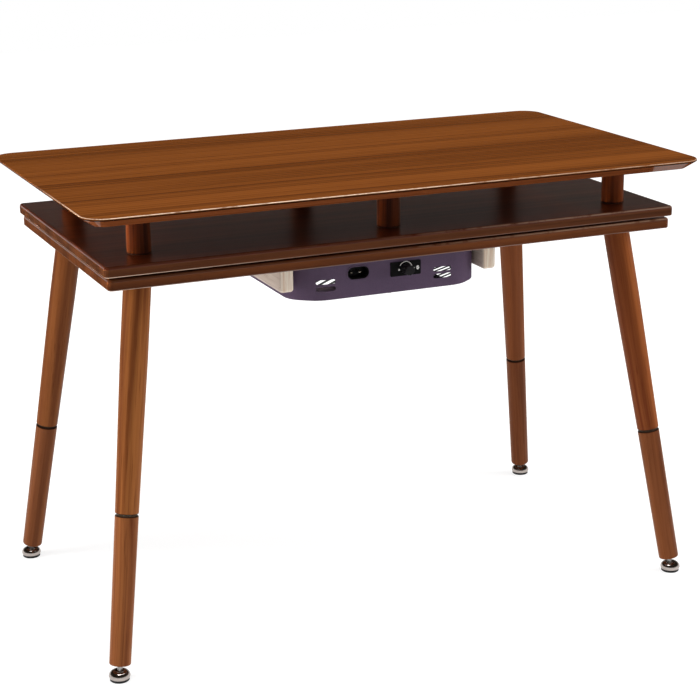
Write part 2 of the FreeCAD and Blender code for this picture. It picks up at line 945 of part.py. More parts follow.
def guard_screw():
    """Cross head screw that points up from a head under z = 0."""
    head = -guard_screw_head_height
    screw = turned([
        (0, head),
        (guard_screw_head_radius - guard_screw_head_height / 2, head),
        (guard_screw_head_radius, 0),
        (guard_screw_radius, 0),
        (guard_screw_radius, guard_screw_length),
        (0, guard_screw_length),
    ])
    half = cross_width / 2
    reach = cross_length / 2
    for size_x, size_y in ((half, reach), (reach, half)):
        cross = block(-size_x, size_x, -size_y, size_y, head - overrun, head + cross_depth)
        screw = screw.cut(cross)
    return screw


def side_screw(side):
    """Pan head screw from inside the case out into a rail."""
    screw = turned([
        (0, -side_screw_head_height),
        (side_screw_head_radius - bolt_chamfer, -side_screw_head_height),
        (side_screw_head_radius, bolt_chamfer - side_screw_head_height),
        (side_screw_head_radius, 0),
        (side_screw_radius, 0),
        (side_screw_radius, side_screw_in_rail - bolt_chamfer),
        (side_screw_radius - bolt_chamfer, side_screw_in_rail),
        (0, side_screw_in_rail),
    ])
    return placed(screw, vec(side * (case_half_width - case_sheet), 0, side_screw_z), vec(side, 0, 0))


def make_heater_shell():
    save("heater_case", make_heater_case())
    save("heater_guard", make_guard())
    screw = guard_screw()
    screws = [screw.translated(vec(x, y, case_bottom)) for x, y in guard_screw_places()]
    save("guard_screws", Part.makeCompound(screws))
    side_screws = []
    for side in (-1, 1):
        for step in (-1, 1):
            side_screws.append(side_screw(side).translated(vec(0, step * side_screw_y, 0)))
    save("heater_screws", Part.makeCompound(side_screws))


# Reflector, tubes and their holders

def make_reflector():
    """Bent sheet under the roof of the case, open downwards."""
    low = reflector_top - reflector_drop
    sheet = reflector_sheet
    profile = [
        (-reflector_spread, low),
        (-reflector_flat, reflector_top),
        (reflector_flat, reflector_top),
        (reflector_spread, low),
        (reflector_spread - sheet, low),
        (reflector_flat - sheet / 2, reflector_under),
        (sheet / 2 - reflector_flat, reflector_under),
        (sheet - reflector_spread, low),
    ]
    corner_points = [vec(-reflector_half_length, y, z) for y, z in profile]
    wire = Part.makePolygon(corner_points + corner_points[:1])
    return Part.Face(wire).extrude(vec(2 * reflector_half_length, 0, 0))


def along_x(shape, y, z):
    """Lay a shape built up the Z axis along X, through the middle of the table."""
    return placed(shape, vec(0, y, z), vec(1, 0, 0))


def make_tube(y):
    half = tube_length / 2
    tube = sleeve(tube_radius - tube_wall, tube_radius, -half, half)
    return along_x(tube, y, tube_z)


def make_coil(y):
    """Heating coil as a plain core with thinner tails at both ends."""
    half = coil_length / 2
    tail = tube_length / 2
    core = turned([
        (0, -tail),
        (coil_end_radius, -tail),
        (coil_end_radius, -half),
        (coil_radius, -half),
        (coil_radius, half),
        (coil_end_radius, half),
        (coil_end_radius, tail),
        (0, tail),
    ])
    return along_x(core, y, tube_z)


def make_holder(side, y):
    """Ceramic block that hangs from the reflector and holds one end of a tube."""
    x0 = side * holder_x - holder_thickness / 2
    low = tube_z - holder_below
    holder = block(x0, x0 + holder_thickness, y - holder_width / 2, y + holder_width / 2,
                   low, reflector_under)
    lower_edges = [edge for edge in flat_edges(holder, low) if edge.BoundBox.XLength > holder_thickness / 2]
    holder = holder.makeFillet(holder_round, lower_edges)
    bore = rod(tube_radius + holder_play, vec(x0 - overrun, y, tube_z), vec(1, 0, 0),
               holder_thickness + 2 * overrun)
    return holder.cut(bore)


def make_fuse():
    """Thermal fuse in a clip under the reflector, in front of the front tube."""
    z = reflector_under - fuse_clip_height
    half = fuse_length / 2
    tail = half + fuse_tail_length
    body = turned([
        (0, -tail),
        (fuse_tail_radius, -tail),
        (fuse_tail_radius, -half),
        (fuse_radius, -half),
        (fuse_radius, half),
        (fuse_tail_radius, half),
        (fuse_tail_radius, tail),
        (0, tail),
    ])
    clip = block(-fuse_clip_length / 2, fuse_clip_length / 2, fuse_y - fuse_clip_width / 2,
                 fuse_y + fuse_clip_width / 2, z, reflector_under)
    return along_x(body, fuse_y, z).fuse(clip)


def make_heating_parts():
    save("reflector", make_reflector())
    save("quartz_tube_front", make_tube(-tube_y))
    save("quartz_tube_rear", make_tube(tube_y))
    save("heating_coils", Part.makeCompound([make_coil(-tube_y), make_coil(tube_y)]))
    holders = [make_holder(side, y) for side in (-1, 1) for y in (-tube_y, tube_y)]
    save("tube_holders", Part.makeCompound(holders))
    save("thermal_fuse", make_fuse())


# Controls on the front wall

def make_control_plate():
    width = plate_width / 2
    height = plate_height / 2
    face_y = case_front_y - plate_thickness
    sheet = block(control_x - width, control_x + width, face_y, case_front_y,
                  control_z - height, control_z + height)
    short = [edge for edge in sheet.Edges if edge.BoundBox.YLength > plate_thickness / 2]
    sheet = sheet.makeFillet(plate_corner, short)
    hole = rod(bushing_radius + bushing_play, vec(control_x, face_y - overrun, control_z),
               vec(0, 1, 0), plate_thickness + 2 * overrun)
    return sheet.cut(hole)


def make_thermostat():
    """Switch body inside the front wall with a threaded bushing through the wall."""
    width = thermostat_width / 2
    height = thermostat_height / 2
    body = block(control_x - width, control_x + width, case_front_inner_y,
                 case_front_inner_y + thermostat_depth, control_z - height, control_z + height)
    long_edges = [edge for edge in body.Edges if edge.BoundBox.YLength > thermostat_depth / 2]
    body = body.makeFillet(thermostat_round, long_edges)
    bushing_front = case_front_inner_y - bushing_length
    bushing = rod(bushing_radius, vec(control_x, bushing_front, control_z), vec(0, 1, 0),
                  bushing_length + overrun)
    bore = rod(spindle_radius + spindle_play, vec(control_x, bushing_front - overrun, control_z),
               vec(0, 1, 0), overrun + bushing_length + spindle_inside)
    return body.fuse(bushing).cut(bore)


def make_spindle():
    back = case_front_inner_y + spindle_inside - spindle_play
    length = back - case_front_y + spindle_outside
    spindle = pin_with_ends(spindle_radius, length, bolt_chamfer)
    return placed(spindle, vec(control_x, back, control_z), vec(0, -1, 0))


def make_nut():
    """Six-sided nut that clamps the wall and the plate to the bushing."""
    radius = nut_across_flats / math.sqrt(3)
    start = case_front_y - plate_thickness
    points = []
    for step in range(7):
        angle = math.radians(60 * step)
        x = control_x + radius * math.cos(angle)
        z = control_z + radius * math.sin(angle)
        points.append(vec(x, start, z))
    nut = Part.Face(Part.makePolygon(points)).extrude(vec(0, -nut_height, 0))
    bore = rod(bushing_radius, vec(control_x, start + overrun, control_z), vec(0, -1, 0),
               nut_height + 2 * overrun)
    return nut.cut(bore)


def make_knob():
    """Fluted knob with a recessed back and a raised mark, built up the Z axis and laid to the front."""
    bore_end = spindle_outside - plate_thickness - knob_gap
    knob = turned([
        (spindle_radius, knob_recess_depth),
        (knob_recess_radius, knob_recess_depth),
        (knob_recess_radius, 0),
        (knob_radius, 0),
        (knob_front_radius, knob_length - knob_round),
        (knob_front_radius - knob_round, knob_length),
        (0, knob_length),
        (0, bore_end),
        (spindle_radius, bore_end),
    ])
    flute = rod(knob_flute_radius, vec(knob_radius + knob_flute_radius / 3, 0, -overrun), vec(0, 0, 1),
                knob_length + 2 * overrun)
    cutters = []
    for step in range(knob_flutes):
        cutter = flute.copy()
        cutter.rotate(vec(0, 0, 0), vec(0, 0, 1), (step + 0.5) * 360 / knob_flutes)
        cutters.append(cutter)
    knob = knob.cut(Part.makeCompound(cutters))
    reach = knob_front_radius - 2 * knob_round
    mark = block(reach / 3, reach, -knob_mark_width / 2, knob_mark_width / 2,
                 knob_length - knob_mark_height, knob_length + knob_mark_height)
    knob = knob.fuse(mark)
    knob.rotate(vec(0, 0, 0), vec(0, 0, 1), knob_mark_angle)
    knob.rotate(vec(0, 0, 0), vec(1, 0, 0), 90)
    back = case_front_y - plate_thickness - knob_gap
    return knob.translated(vec(control_x, back, control_z))


def make_inlet_body():
    """Cup for the plug: a round-ended tray with a back wall that holds the pins."""
    back = case_front_y + inlet_depth
    cup = stadium(inlet_x, inlet_z, inlet_width, inlet_height, case_front_y, back)
    hollow = stadium(inlet_x, inlet_z, inlet_width - 2 * inlet_wall, inlet_height - 2 * inlet_wall,
                     case_front_y - overrun, back - 2 * inlet_wall)
    cup = cup.cut(hollow)
    for offset in (pin_offset_left, pin_offset_right):
        start = vec(inlet_x + offset, back - 2 * overrun, inlet_z)
        hole = rod(pin_radius, start, vec(0, 1, 0), 3 * overrun)
        cup = cup.cut(hole)
    return cup


def make_inlet_pins():
    back = case_front_y + inlet_depth
    length = 2 * inlet_wall + pin_length + pin_tail
    pins = []
    for offset in (pin_offset_left, pin_offset_right):
        pin = pin_with_ends(pin_radius, length, bolt_chamfer)
        pins.append(placed(pin, vec(inlet_x + offset, back + pin_tail, inlet_z), vec(0, -1, 0)))
    return Part.makeCompound(pins)


def make_controls():
    save("control_plate", make_control_plate())
    save("thermostat", make_thermostat())
    save("control_spindle", make_spindle())
    save("spindle_nut", make_nut())
    save("control_knob", make_knob())
    save("inlet_body", make_inlet_body())
    save("inlet_pins", make_inlet_pins())


# Wiring parts inside the case

def make_baffle():
    """Bent strip on the guard that screens the wiring corner behind the left air slots."""
    y = case_front_y + baffle_setback
    z = case_floor + guard_sheet
    x0 = baffle_x - baffle_half_length
    x1 = baffle_x + baffle_half_length
    wall = block(x0, x1, y, y + baffle_sheet, z, z + baffle_height)
    foot = block(x0, x1, y - baffle_foot, y + baffle_sheet, z, z + baffle_sheet)
    return wall.fuse(foot)


def make_terminal_block():
    """Ceramic block under the roof of the case with a row of open slots."""
    x0 = terminal_x - terminal_length / 2
    y0 = case_front_y + terminal_setback
    z0 = case_roof - terminal_height
    body = block(x0, x0 + terminal_length, y0, y0 + terminal_depth, z0, case_roof)
    step = terminal_length / terminal_slots
    for index in range(terminal_slots):
        x = x0 + (index + 0.5) * step
        slot = block(x - terminal_slot_width / 2, x + terminal_slot_width / 2, y0 - overrun,
                     y0 + terminal_depth + overrun, z0 - overrun, z0 + terminal_slot_depth)
        body = body.cut(slot)
    return body


def lead(points):
    """Round insulated lead along straight runs joined by quarter bends."""
    edges = []
    start = points[0]
    for index in range(1, len(points) - 1):
        corner = points[index]
        before = (corner - points[index - 1]).normalize()
        after = (points[index + 1] - corner).normalize()
        arc_start = corner - before * lead_bend
        arc_end = corner + after * lead_bend
        middle = corner + (after - before) * (lead_bend * (1 - math.sqrt(0.5)))
        edges.append(Part.makeLine(start, arc_start))
        edges.append(Part.Arc(arc_start, middle, arc_end).toShape())
        start = arc_end
    edges.append(Part.makeLine(start, points[-1]))
    path = Part.Wire(edges)
    direction = (points[1] - points[0]).normalize()
    ring = Part.Wire([Part.Circle(points[0], direction, lead_radius).toShape()])
    return path.makePipeShell([ring], True, False)


def make_leads():
    """The circuit: inlet, terminal block, thermostat, fuse and both tubes in a row."""
    pin_y = case_front_y + inlet_depth + pin_tail
    block_y = case_front_y + terminal_setback + terminal_depth / 2
    block_back = case_front_y + terminal_setback + terminal_depth
    run_z = case_roof - lead_high
    block_left = terminal_x - terminal_length / 2
    block_right = terminal_x + terminal_length / 2
    tube_end = tube_length / 2
    inner_x = tube_end + lead_side
    outer_x = inner_x + lead_spacing
    front_y = block_back + lead_spacing
    fuse_z = reflector_under - fuse_clip_height
    fuse_end = fuse_length / 2 + fuse_tail_length
    switch_x = control_x + thermostat_width / 4
    switch_back = case_front_inner_y + thermostat_depth
    left_pin_x = inlet_x + pin_offset_left
    right_pin_x = inlet_x + pin_offset_right
    drop_x = block_right + lead_drop
    return Part.makeCompound([
        lead([vec(right_pin_x, pin_y, inlet_z), vec(right_pin_x, block_y, inlet_z),
              vec(right_pin_x, block_y, run_z), vec(block_left, block_y, run_z)]),
        lead([vec(switch_x, switch_back, control_z), vec(switch_x, block_y, control_z),
              vec(switch_x, block_y, run_z), vec(block_right, block_y, run_z)]),
        lead([vec(left_pin_x, pin_y, inlet_z), vec(left_pin_x, front_y, inlet_z),
              vec(left_pin_x, front_y, tube_z), vec(-inner_x, front_y, tube_z),
              vec(-inner_x, -tube_y, tube_z), vec(-tube_end, -tube_y, tube_z)]),
        lead([vec(tube_end, -tube_y, tube_z), vec(inner_x, -tube_y, tube_z),
              vec(inner_x, tube_y, tube_z), vec(tube_end, tube_y, tube_z)]),
        lead([vec(-tube_end, tube_y, tube_z), vec(-outer_x, tube_y, tube_z),
              vec(-outer_x, fuse_y, tube_z), vec(-outer_x, fuse_y, fuse_z),
              vec(-fuse_end, fuse_y, fuse_z)]),
        lead([vec(fuse_end, fuse_y, fuse_z), vec(drop_x, fuse_y, fuse_z), vec(drop_x, fuse_y, tube_z),
              vec(drop_x, front_y, tube_z), vec(drop_x, front_y, run_z),
              vec(terminal_x, front_y, run_z), vec(terminal_x, block_back, run_z)]),
    ])


def make_wiring():
    save("wiring_baffle", make_baffle())
    save("terminal_block", make_terminal_block())
    save("inner_leads", make_leads())


os.makedirs("parts", exist_ok=True)
make_upper_unit()
make_base()
make_legs()
make_pads()
make_heater_shell()
make_heating_parts()
make_controls()
make_wiring()
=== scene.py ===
# %% [markdown]
# # A kotatsu table of desk height
# The engineering model gives every board, leg and screw its true size. This notebook gives them their looks:
# stained walnut with its grain, polished pads, violet-grey paint on the heater, and the small parts that need
# a finer shape than the solids have. We begin by loading the model as a fixed frame.

# %% Load the frame
import math
import bpy
from collections import Counter
from mathutils import Matrix, Vector


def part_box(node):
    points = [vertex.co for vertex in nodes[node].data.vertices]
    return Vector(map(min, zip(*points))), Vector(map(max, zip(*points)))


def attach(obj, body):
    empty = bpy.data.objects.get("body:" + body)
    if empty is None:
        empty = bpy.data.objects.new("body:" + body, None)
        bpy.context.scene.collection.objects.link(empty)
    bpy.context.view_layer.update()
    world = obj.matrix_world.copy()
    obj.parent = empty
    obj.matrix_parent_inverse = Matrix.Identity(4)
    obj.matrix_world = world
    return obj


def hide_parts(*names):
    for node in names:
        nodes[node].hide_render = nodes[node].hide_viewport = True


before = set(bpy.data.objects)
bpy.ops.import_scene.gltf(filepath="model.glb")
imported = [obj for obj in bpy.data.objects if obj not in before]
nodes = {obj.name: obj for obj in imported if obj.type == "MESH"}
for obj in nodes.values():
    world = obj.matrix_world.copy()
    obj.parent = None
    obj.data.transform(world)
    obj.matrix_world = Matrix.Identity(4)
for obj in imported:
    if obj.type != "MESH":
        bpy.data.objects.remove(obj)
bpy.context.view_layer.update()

# %% [markdown]
# The camera stands to the left of the table, higher than the desktop, and looks down by about sixteen
# degrees. A long lens from three metres away keeps the legs nearly parallel, which is how furniture is
# usually shown. We build its turn from three directions (right, up and backwards) instead of from angles,
# because directions can be read off a drawing.

# %% Camera
scene = bpy.context.scene
camera_place = (-1.1498, -2.6480, 1.2316)
looking = Vector((0.3849, 0.8782, -0.2839))
upwards = Vector((0.1233, 0.2559, 0.9588))
lens = bpy.data.cameras.new("Camera")
lens.sensor_width = 36
lens.lens = 94.21
lens.clip_end = 100
camera = bpy.data.objects.new("Camera", lens)
scene.collection.objects.link(camera)
forward = looking.normalized()
right = forward.cross(upwards).normalized()
turn = Matrix((right, right.cross(forward), -forward)).transposed()
camera.matrix_world = Matrix.Translation(camera_place) @ turn.to_4x4()
scene.camera = camera
print("camera", [round(v, 3) for v in camera.location], "lens", round(lens.lens, 1), "mm")

# %% [markdown]
# Materials are graphs of nodes. One short helper adds a node, sets its options and fills its inputs, either
# with a number or with a wire from another node, and a second one empties a graph to start with. Colours are
# easier to judge as the 0 to 255 values of a paint chart, so a third helper turns those into the linear
# values that a renderer works with.

# %% Helpers for node graphs
def add(tree, kind, inputs=None, **options):
    node = tree.nodes.new("ShaderNode" + kind)
    for name, value in options.items():
        setattr(node, name, value)
    for name, value in (inputs or {}).items():
        if isinstance(value, bpy.types.NodeSocket):
            tree.links.new(value, node.inputs[name])
        else:
            node.inputs[name].default_value = value
    return node


def blank_tree(owner):
    """Give a material or a world an empty node tree."""
    owner.use_nodes = True
    owner.node_tree.nodes.clear()
    return owner.node_tree


def chart(red, green, blue):
    """A paint chart colour as linear red, green, blue and alpha."""
    def linear(value):
        value = value / 255
        return value / 12.92 if value <= 0.04045 else ((value + 0.055) / 1.055) ** 2.4
    return (linear(red), linear(green), linear(blue), 1.0)


# %% Helpers for sums and mixes
def sum_of(tree, operation, *values, clamp=False):
    inputs = dict(enumerate(values))
    return add(tree, "Math", inputs, operation=operation, use_clamp=clamp).outputs[0]


def mixed(tree, share, first, second, blend="MIX"):
    """Mix two colours; share 0 is the first one and share 1 the second."""
    return add(tree, "Mix", {0: share, 6: first, 7: second}, data_type="RGBA", blend_type=blend).outputs[2]


def ramped(tree, value, low, high):
    """Ease a value from 0 at low to 1 at high."""
    inputs = {"Value": value, "From Min": low, "From Max": high}
    return add(tree, "MapRange", inputs, interpolation_type="SMOOTHSTEP").outputs[0]


def ranged(tree, value, start, end, first, last):
    """Carry a value from start and end over to first and last, in a straight line and no further."""
    inputs = {"Value": value, "From Min": start, "From Max": end, "To Min": first, "To Max": last}
    return add(tree, "MapRange", inputs).outputs[0]


def scaled(tree, vector, factors):
    return add(tree, "VectorMath", {0: vector, 1: factors}, operation="MULTIPLY").outputs[0]


def noise(tree, vector, size, detail=2.0, roughness=0.5):
    inputs = {"Vector": vector, "Scale": size, "Detail": detail, "Roughness": roughness}
    return add(tree, "TexNoise", inputs).outputs[0]


print("paint chart grey 128 is", round(chart(128, 128, 128)[0], 3), "in linear light")

# %% [markdown]
# Studio light for glossy wood is large and soft. A long softbox overhead lights the boards. Two more stand
# left and right, far enough round that they light the flanks of the legs and leave their middle dark, which
# is what makes a turned leg look round, and a weak one stands behind. A small strip light with a narrow beam
# stands level with the gap under the desktop, where the large ones hardly reach the posts. Only the overhead
# one may be seen in reflections: seen across the desktop, the others would turn half of it white.

# %% Softboxes
def softbox(name, place, target, width, height, watts):
    data = bpy.data.lights.new(name, "AREA")
    data.shape = "RECTANGLE"
    data.size = width
    data.size_y = height
    data.energy = watts
    lamp = bpy.data.objects.new(name, data)
    scene.collection.objects.link(lamp)
    lamp.location = place
    lamp.rotation_mode = "QUATERNION"
    lamp.rotation_quaternion = (Vector(target) - Vector(place)).to_track_quat("-Z", "Y")
    print(name, "at", place, "with", watts, "watts")
    return lamp


middle = (0, 0, 0.4)
softbox("Overhead", (0.1, -0.3, 2.9), (0, 0, 0.5), 2.6, 0.9, 58)
left_box = softbox("Left", (-2.8, 0.4, 1.05), middle, 1.2, 1.6, 60)
right_box = softbox("Right", (2.6, -1.0, 1.1), middle, 1.2, 1.6, 44)
back_box = softbox("Back", (0.6, 2.6, 1.8), middle, 2.0, 1.2, 20)
strip = softbox("Strip", (-1.05, 0.1, 0.648), (0, 0.04, 0.648), 0.8, 0.05, 0.25)
strip.data.spread = math.radians(12)
strip.visible_camera = False
for lamp in (left_box, right_box, back_box, strip):
    lamp.visible_glossy = False

# %% [markdown]
# The surroundings are white paper. Seen by the camera, in a reflection or through glass they are pure white;
# for everything else they only send out a gentle fill. The Light Path node tells these kinds of ray apart.

# %% White surroundings
def seen_by_eye(tree):
    """1 for rays that end in the picture as seen, mirrored or looked through, 0 for those that only light."""
    path = add(tree, "LightPath").outputs
    seen = sum_of(tree, "MAXIMUM", path["Is Camera Ray"], path["Is Glossy Ray"])
    return sum_of(tree, "MAXIMUM", seen, path["Is Transmission Ray"])


white = (1, 1, 1, 1)
fill_strength = 0.30
scene.view_settings.view_transform = "Standard"
scene.world = bpy.data.worlds.new("Studio")
tree = blank_tree(scene.world)
fill = add(tree, "Background", {"Color": white, "Strength": fill_strength}).outputs[0]
paper = add(tree, "Background", {"Color": white, "Strength": 1.0}).outputs[0]
sky = add(tree, "MixShader", {0: seen_by_eye(tree), 1: fill, 2: paper}).outputs[0]
add(tree, "OutputWorld", {"Surface": sky})
print("fill light at strength", fill_strength, "and background at 1")

# %% [markdown]
# The floor is the same paper. A plain white floor would turn grey where less light falls, so what the camera
# sees of it is part glow and part paint: the glow takes it to white, and the paint keeps the soft shadow
# under the table. From below the sheet is clear, so that the underside can be looked at too.

# %% Floor
floor_size = 14
bpy.ops.mesh.primitive_plane_add(size=floor_size, location=(0, 0, 0))
floor = bpy.context.object
floor.name = "Floor"
paper_floor = bpy.data.materials.new("Paper floor")
tree = blank_tree(paper_floor)
plain = add(tree, "BsdfDiffuse", {"Color": (0.80, 0.80, 0.80, 1)}).outputs[0]
paint = add(tree, "BsdfDiffuse", {"Color": (0.42, 0.42, 0.42, 1)}).outputs[0]
spot = add(tree, "TexCoord").outputs["Object"]
away = add(tree, "VectorMath", {0: spot}, operation="LENGTH").outputs["Value"]
lift = ranged(tree, away, 0.9, 3.2, 0.72, 0.92)
glow = add(tree, "Emission", {"Color": white, "Strength": lift}).outputs[0]
glowing = add(tree, "AddShader", {0: paint, 1: glow}).outputs[0]
above = add(tree, "MixShader", {0: seen_by_eye(tree), 1: plain, 2: glowing}).outputs[0]
below = add(tree, "BsdfTransparent").outputs[0]
behind = add(tree, "NewGeometry").outputs["Backfacing"]
add(tree, "OutputMaterial", {"Surface": add(tree, "MixShader", {0: behind, 1: above, 2: below}).outputs[0]})
floor.data.materials.append(paper_floor)
print("floor of", floor_size, "metres")

# %% [markdown]
# Lacquered wood reflects whatever stands behind it, and at a low angle it reflects a lot. With white paper
# all round, the desktop would go milky. Photographers put up dark cards outside the picture for this, and
# so do we: a brown drum with a lid, all round and above, and a brown sheet on the floor with a hole under the
# table. Between the two a strip of white paper stays in sight, which gives the shelf its soft sheen. Only
# reflections see them.

# %% Cards
card_radius, ring_height, ring_middle = 5.0, 5.2, 3.8
sheet_height, hole_share = 0.02, 0.24
card_brown = bpy.data.materials.new("Card brown")
tree = blank_tree(card_brown)
dim = add(tree, "Emission", {"Color": (1.0, 0.76, 0.52, 1), "Strength": 0.03}).outputs[0]
add(tree, "OutputMaterial", {"Surface": dim})
bpy.ops.mesh.primitive_cylinder_add(vertices=64, radius=card_radius, depth=ring_height,
                                    end_fill_type="NOTHING", location=(0, 0, ring_middle))
ring = bpy.context.object
ring.name = "Card_ring"
bpy.ops.object.mode_set(mode="EDIT")
bpy.ops.mesh.select_mode(type="VERT")
bpy.ops.mesh.select_all(action="DESELECT")
bpy.ops.object.mode_set(mode="OBJECT")
for vertex in ring.data.vertices:
    vertex.select = vertex.co.z > 0
bpy.ops.object.mode_set(mode="EDIT")
bpy.ops.mesh.edge_face_add()
bpy.ops.object.mode_set(mode="OBJECT")
bpy.ops.mesh.primitive_circle_add(vertices=64, radius=card_radius, fill_type="NOTHING",
                                  location=(0, 0, sheet_height))
sheet = bpy.context.object
sheet.name = "Card_sheet"
bpy.ops.object.mode_set(mode="EDIT")
bpy.ops.mesh.select_all(action="SELECT")
bpy.ops.mesh.extrude_region_move()
bpy.ops.transform.resize(value=(hole_share, hole_share, 1), center_override=(0, 0, sheet_height))
bpy.ops.object.mode_set(mode="OBJECT")
for card in (ring, sheet):
    card.data.materials.append(card_brown)
    card.visible_camera = card.visible_diffuse = card.visible_shadow = card.visible_transmission = False
    print(card.name, "with", len(card.data.polygons), "faces")

# %% [markdown]
# ## Wood
# Every visible board and leg is walnut. What the eye reads as wood is three patterns in one direction: broad
# soft bands, finer streaks, and short dark pores. All three are noise that is stretched along the grain, so
# one node group can serve the whole table, and each material hands it a vector whose X runs with the grain,
# its own colours and its own seed.

# %% Frame of a node group
def new_group(name, inputs, outputs):
    """An empty shader group with named inputs (kind, start value) and outputs (kind)."""
    group = bpy.data.node_groups.new(name, "ShaderNodeTree")
    for label, (kind, value) in inputs.items():
        socket = group.interface.new_socket(label, in_out="INPUT", socket_type="NodeSocket" + kind)
        if value is not None:
            socket.default_value = value
    for label, kind in outputs.items():
        group.interface.new_socket(label, in_out="OUTPUT", socket_type="NodeSocket" + kind)
    start = group.nodes.new("NodeGroupInput").outputs
    end = group.nodes.new("NodeGroupOutput").inputs
    return group, start, end


def gloss_between(tree, share, given):
    """Roughness from the group's Gloss low, at share 0, to its Gloss high."""
    spread = sum_of(tree, "SUBTRACT", given["Gloss high"], given["Gloss low"])
    return sum_of(tree, "MULTIPLY_ADD", share, spread, given["Gloss low"])


def use_group(tree, group, inputs):
    node = add(tree, "Group", node_tree=group)
    for name, value in inputs.items():
        if isinstance(value, bpy.types.NodeSocket):
            tree.links.new(value, node.inputs[name])
        else:
            node.inputs[name].default_value = value
    return node.outputs


# %% [markdown]
# The grain never runs dead straight. A slow noise along the board pushes the pattern sideways by a few
# millimetres before the bands are drawn, and a wave texture adds the crisp growth lines between them.

# %% Long grain
long_grain, given, made = new_group("Long grain", {
    "Vector": ("Vector", None),
    "Light": ("Color", chart(150, 92, 44)),
    "Dark": ("Color", chart(84, 42, 18)),
    "Bands": ("Float", 24.0),
    "Streaks": ("Float", 130.0),
    "Pores": ("Float", 800.0),
    "Drift": ("Float", 0.02),
    "Lines": ("Float", 0.3),
    "Gloss low": ("Float", 0.25),
    "Gloss high": ("Float", 0.4),
}, {"Color": "Color", "Roughness": "Float", "Height": "Float"})
tree = long_grain
slow = noise(tree, scaled(tree, given["Vector"], (1.3, 3.0, 3.0)), 1.0, 1.0)
push = sum_of(tree, "MULTIPLY", sum_of(tree, "SUBTRACT", slow, 0.5), given["Drift"])
shift = add(tree, "CombineXYZ", {"X": 0.0, "Y": push, "Z": push}).outputs[0]
drifted = add(tree, "VectorMath", {0: given["Vector"], 1: shift}, operation="ADD").outputs[0]
bands = noise(tree, scaled(tree, drifted, (0.02, 1.0, 1.0)), given["Bands"], 2.0, 0.55)
streaks = noise(tree, scaled(tree, drifted, (0.012, 1.0, 1.0)), given["Streaks"], 3.0, 0.6)
pores = noise(tree, scaled(tree, drifted, (0.016, 1.0, 1.0)), given["Pores"], 2.0, 0.6)
stretched = scaled(tree, drifted, (0.05, 1.0, 1.0))
wave = add(tree, "TexWave", {"Vector": stretched, "Scale": 26.0, "Distortion": 7.0, "Detail": 2.0,
                             "Detail Scale": 0.7}, bands_direction="Y").outputs[1]
growth = sum_of(tree, "POWER", wave, 4.0)

# %% Long grain, colour and surface
broad = ramped(tree, bands, 0.34, 0.66)
fine = ramped(tree, streaks, 0.3, 0.7)
figure = sum_of(tree, "MULTIPLY", broad, 0.55)
figure = sum_of(tree, "MULTIPLY_ADD", fine, 0.35, figure)
figure = sum_of(tree, "MULTIPLY_ADD", growth, given["Lines"], figure, clamp=True)
tone = mixed(tree, figure, given["Light"], given["Dark"])
open_pores = ramped(tree, pores, 0.56, 0.74)
darker = mixed(tree, 1.0, tone, (0.62, 0.55, 0.5, 1), "MULTIPLY")
tree.links.new(mixed(tree, open_pores, tone, darker), made["Color"])
rough = sum_of(tree, "MULTIPLY", fine, 0.6)
rough = sum_of(tree, "MULTIPLY_ADD", open_pores, 0.4, rough)
tree.links.new(gloss_between(tree, rough, given), made["Roughness"])
level = sum_of(tree, "SUBTRACT", 1.0, open_pores)
tree.links.new(sum_of(tree, "MULTIPLY_ADD", fine, 0.25, level), made["Height"])
print("group", long_grain.name, "has", len(long_grain.nodes), "nodes")

# %% [markdown]
# A lacquered board looks different at its edges. The side faces carry an edge strip of another tone. On the
# arrises a pale colour is painted in as a highlight, the bright line that light draws along a lacquered edge,
# and under the nose a dark line is painted as shade in the seam. This group works out from the position alone
# how far a point lies inside the outline, a rectangle with round corners, and inside the two faces. On a
# rounded arris the sum of both is nearest to nothing in the middle of the round. The painted highlight on the
# upper arris runs along the front, as strong at the left and at the right as the two highlight inputs say.
# On the lower arris it is painted at the left end.

# %% Board edges
board_edges, given, made = new_group("Board edges", {
    "Vector": ("Vector", None),
    "Half length": ("Float", 0.5),
    "Half depth": ("Float", 0.3),
    "Corner": ("Float", 0.01),
    "Top": ("Float", 0.7),
    "Bottom": ("Float", 0.68),
    "Upper round": ("Float", 0.004),
    "Lower round": ("Float", 0.002),
    "Seam": ("Float", 0.003),
    "Left wear": ("Float", 0.1),
    "Right wear": ("Float", 1.0),
}, {"Side": "Float", "Upper arris": "Float", "Lower arris": "Float", "Seam": "Float"})
tree = board_edges
place = add(tree, "SeparateXYZ", {0: given["Vector"]}).outputs
beyond = []
for axis, half in (("X", "Half length"), ("Y", "Half depth")):
    straight = sum_of(tree, "SUBTRACT", given[half], given["Corner"])
    beyond.append(sum_of(tree, "SUBTRACT", sum_of(tree, "ABSOLUTE", place[axis]), straight))
past = [sum_of(tree, "MAXIMUM", distance, 0.0) for distance in beyond]
corner = add(tree, "CombineXYZ", {"X": past[0], "Y": past[1]}).outputs[0]
round_part = add(tree, "VectorMath", {0: corner}, operation="LENGTH").outputs["Value"]
inner_part = sum_of(tree, "MINIMUM", sum_of(tree, "MAXIMUM", *beyond), 0.0)
outward = sum_of(tree, "SUBTRACT", sum_of(tree, "ADD", round_part, inner_part), given["Corner"])
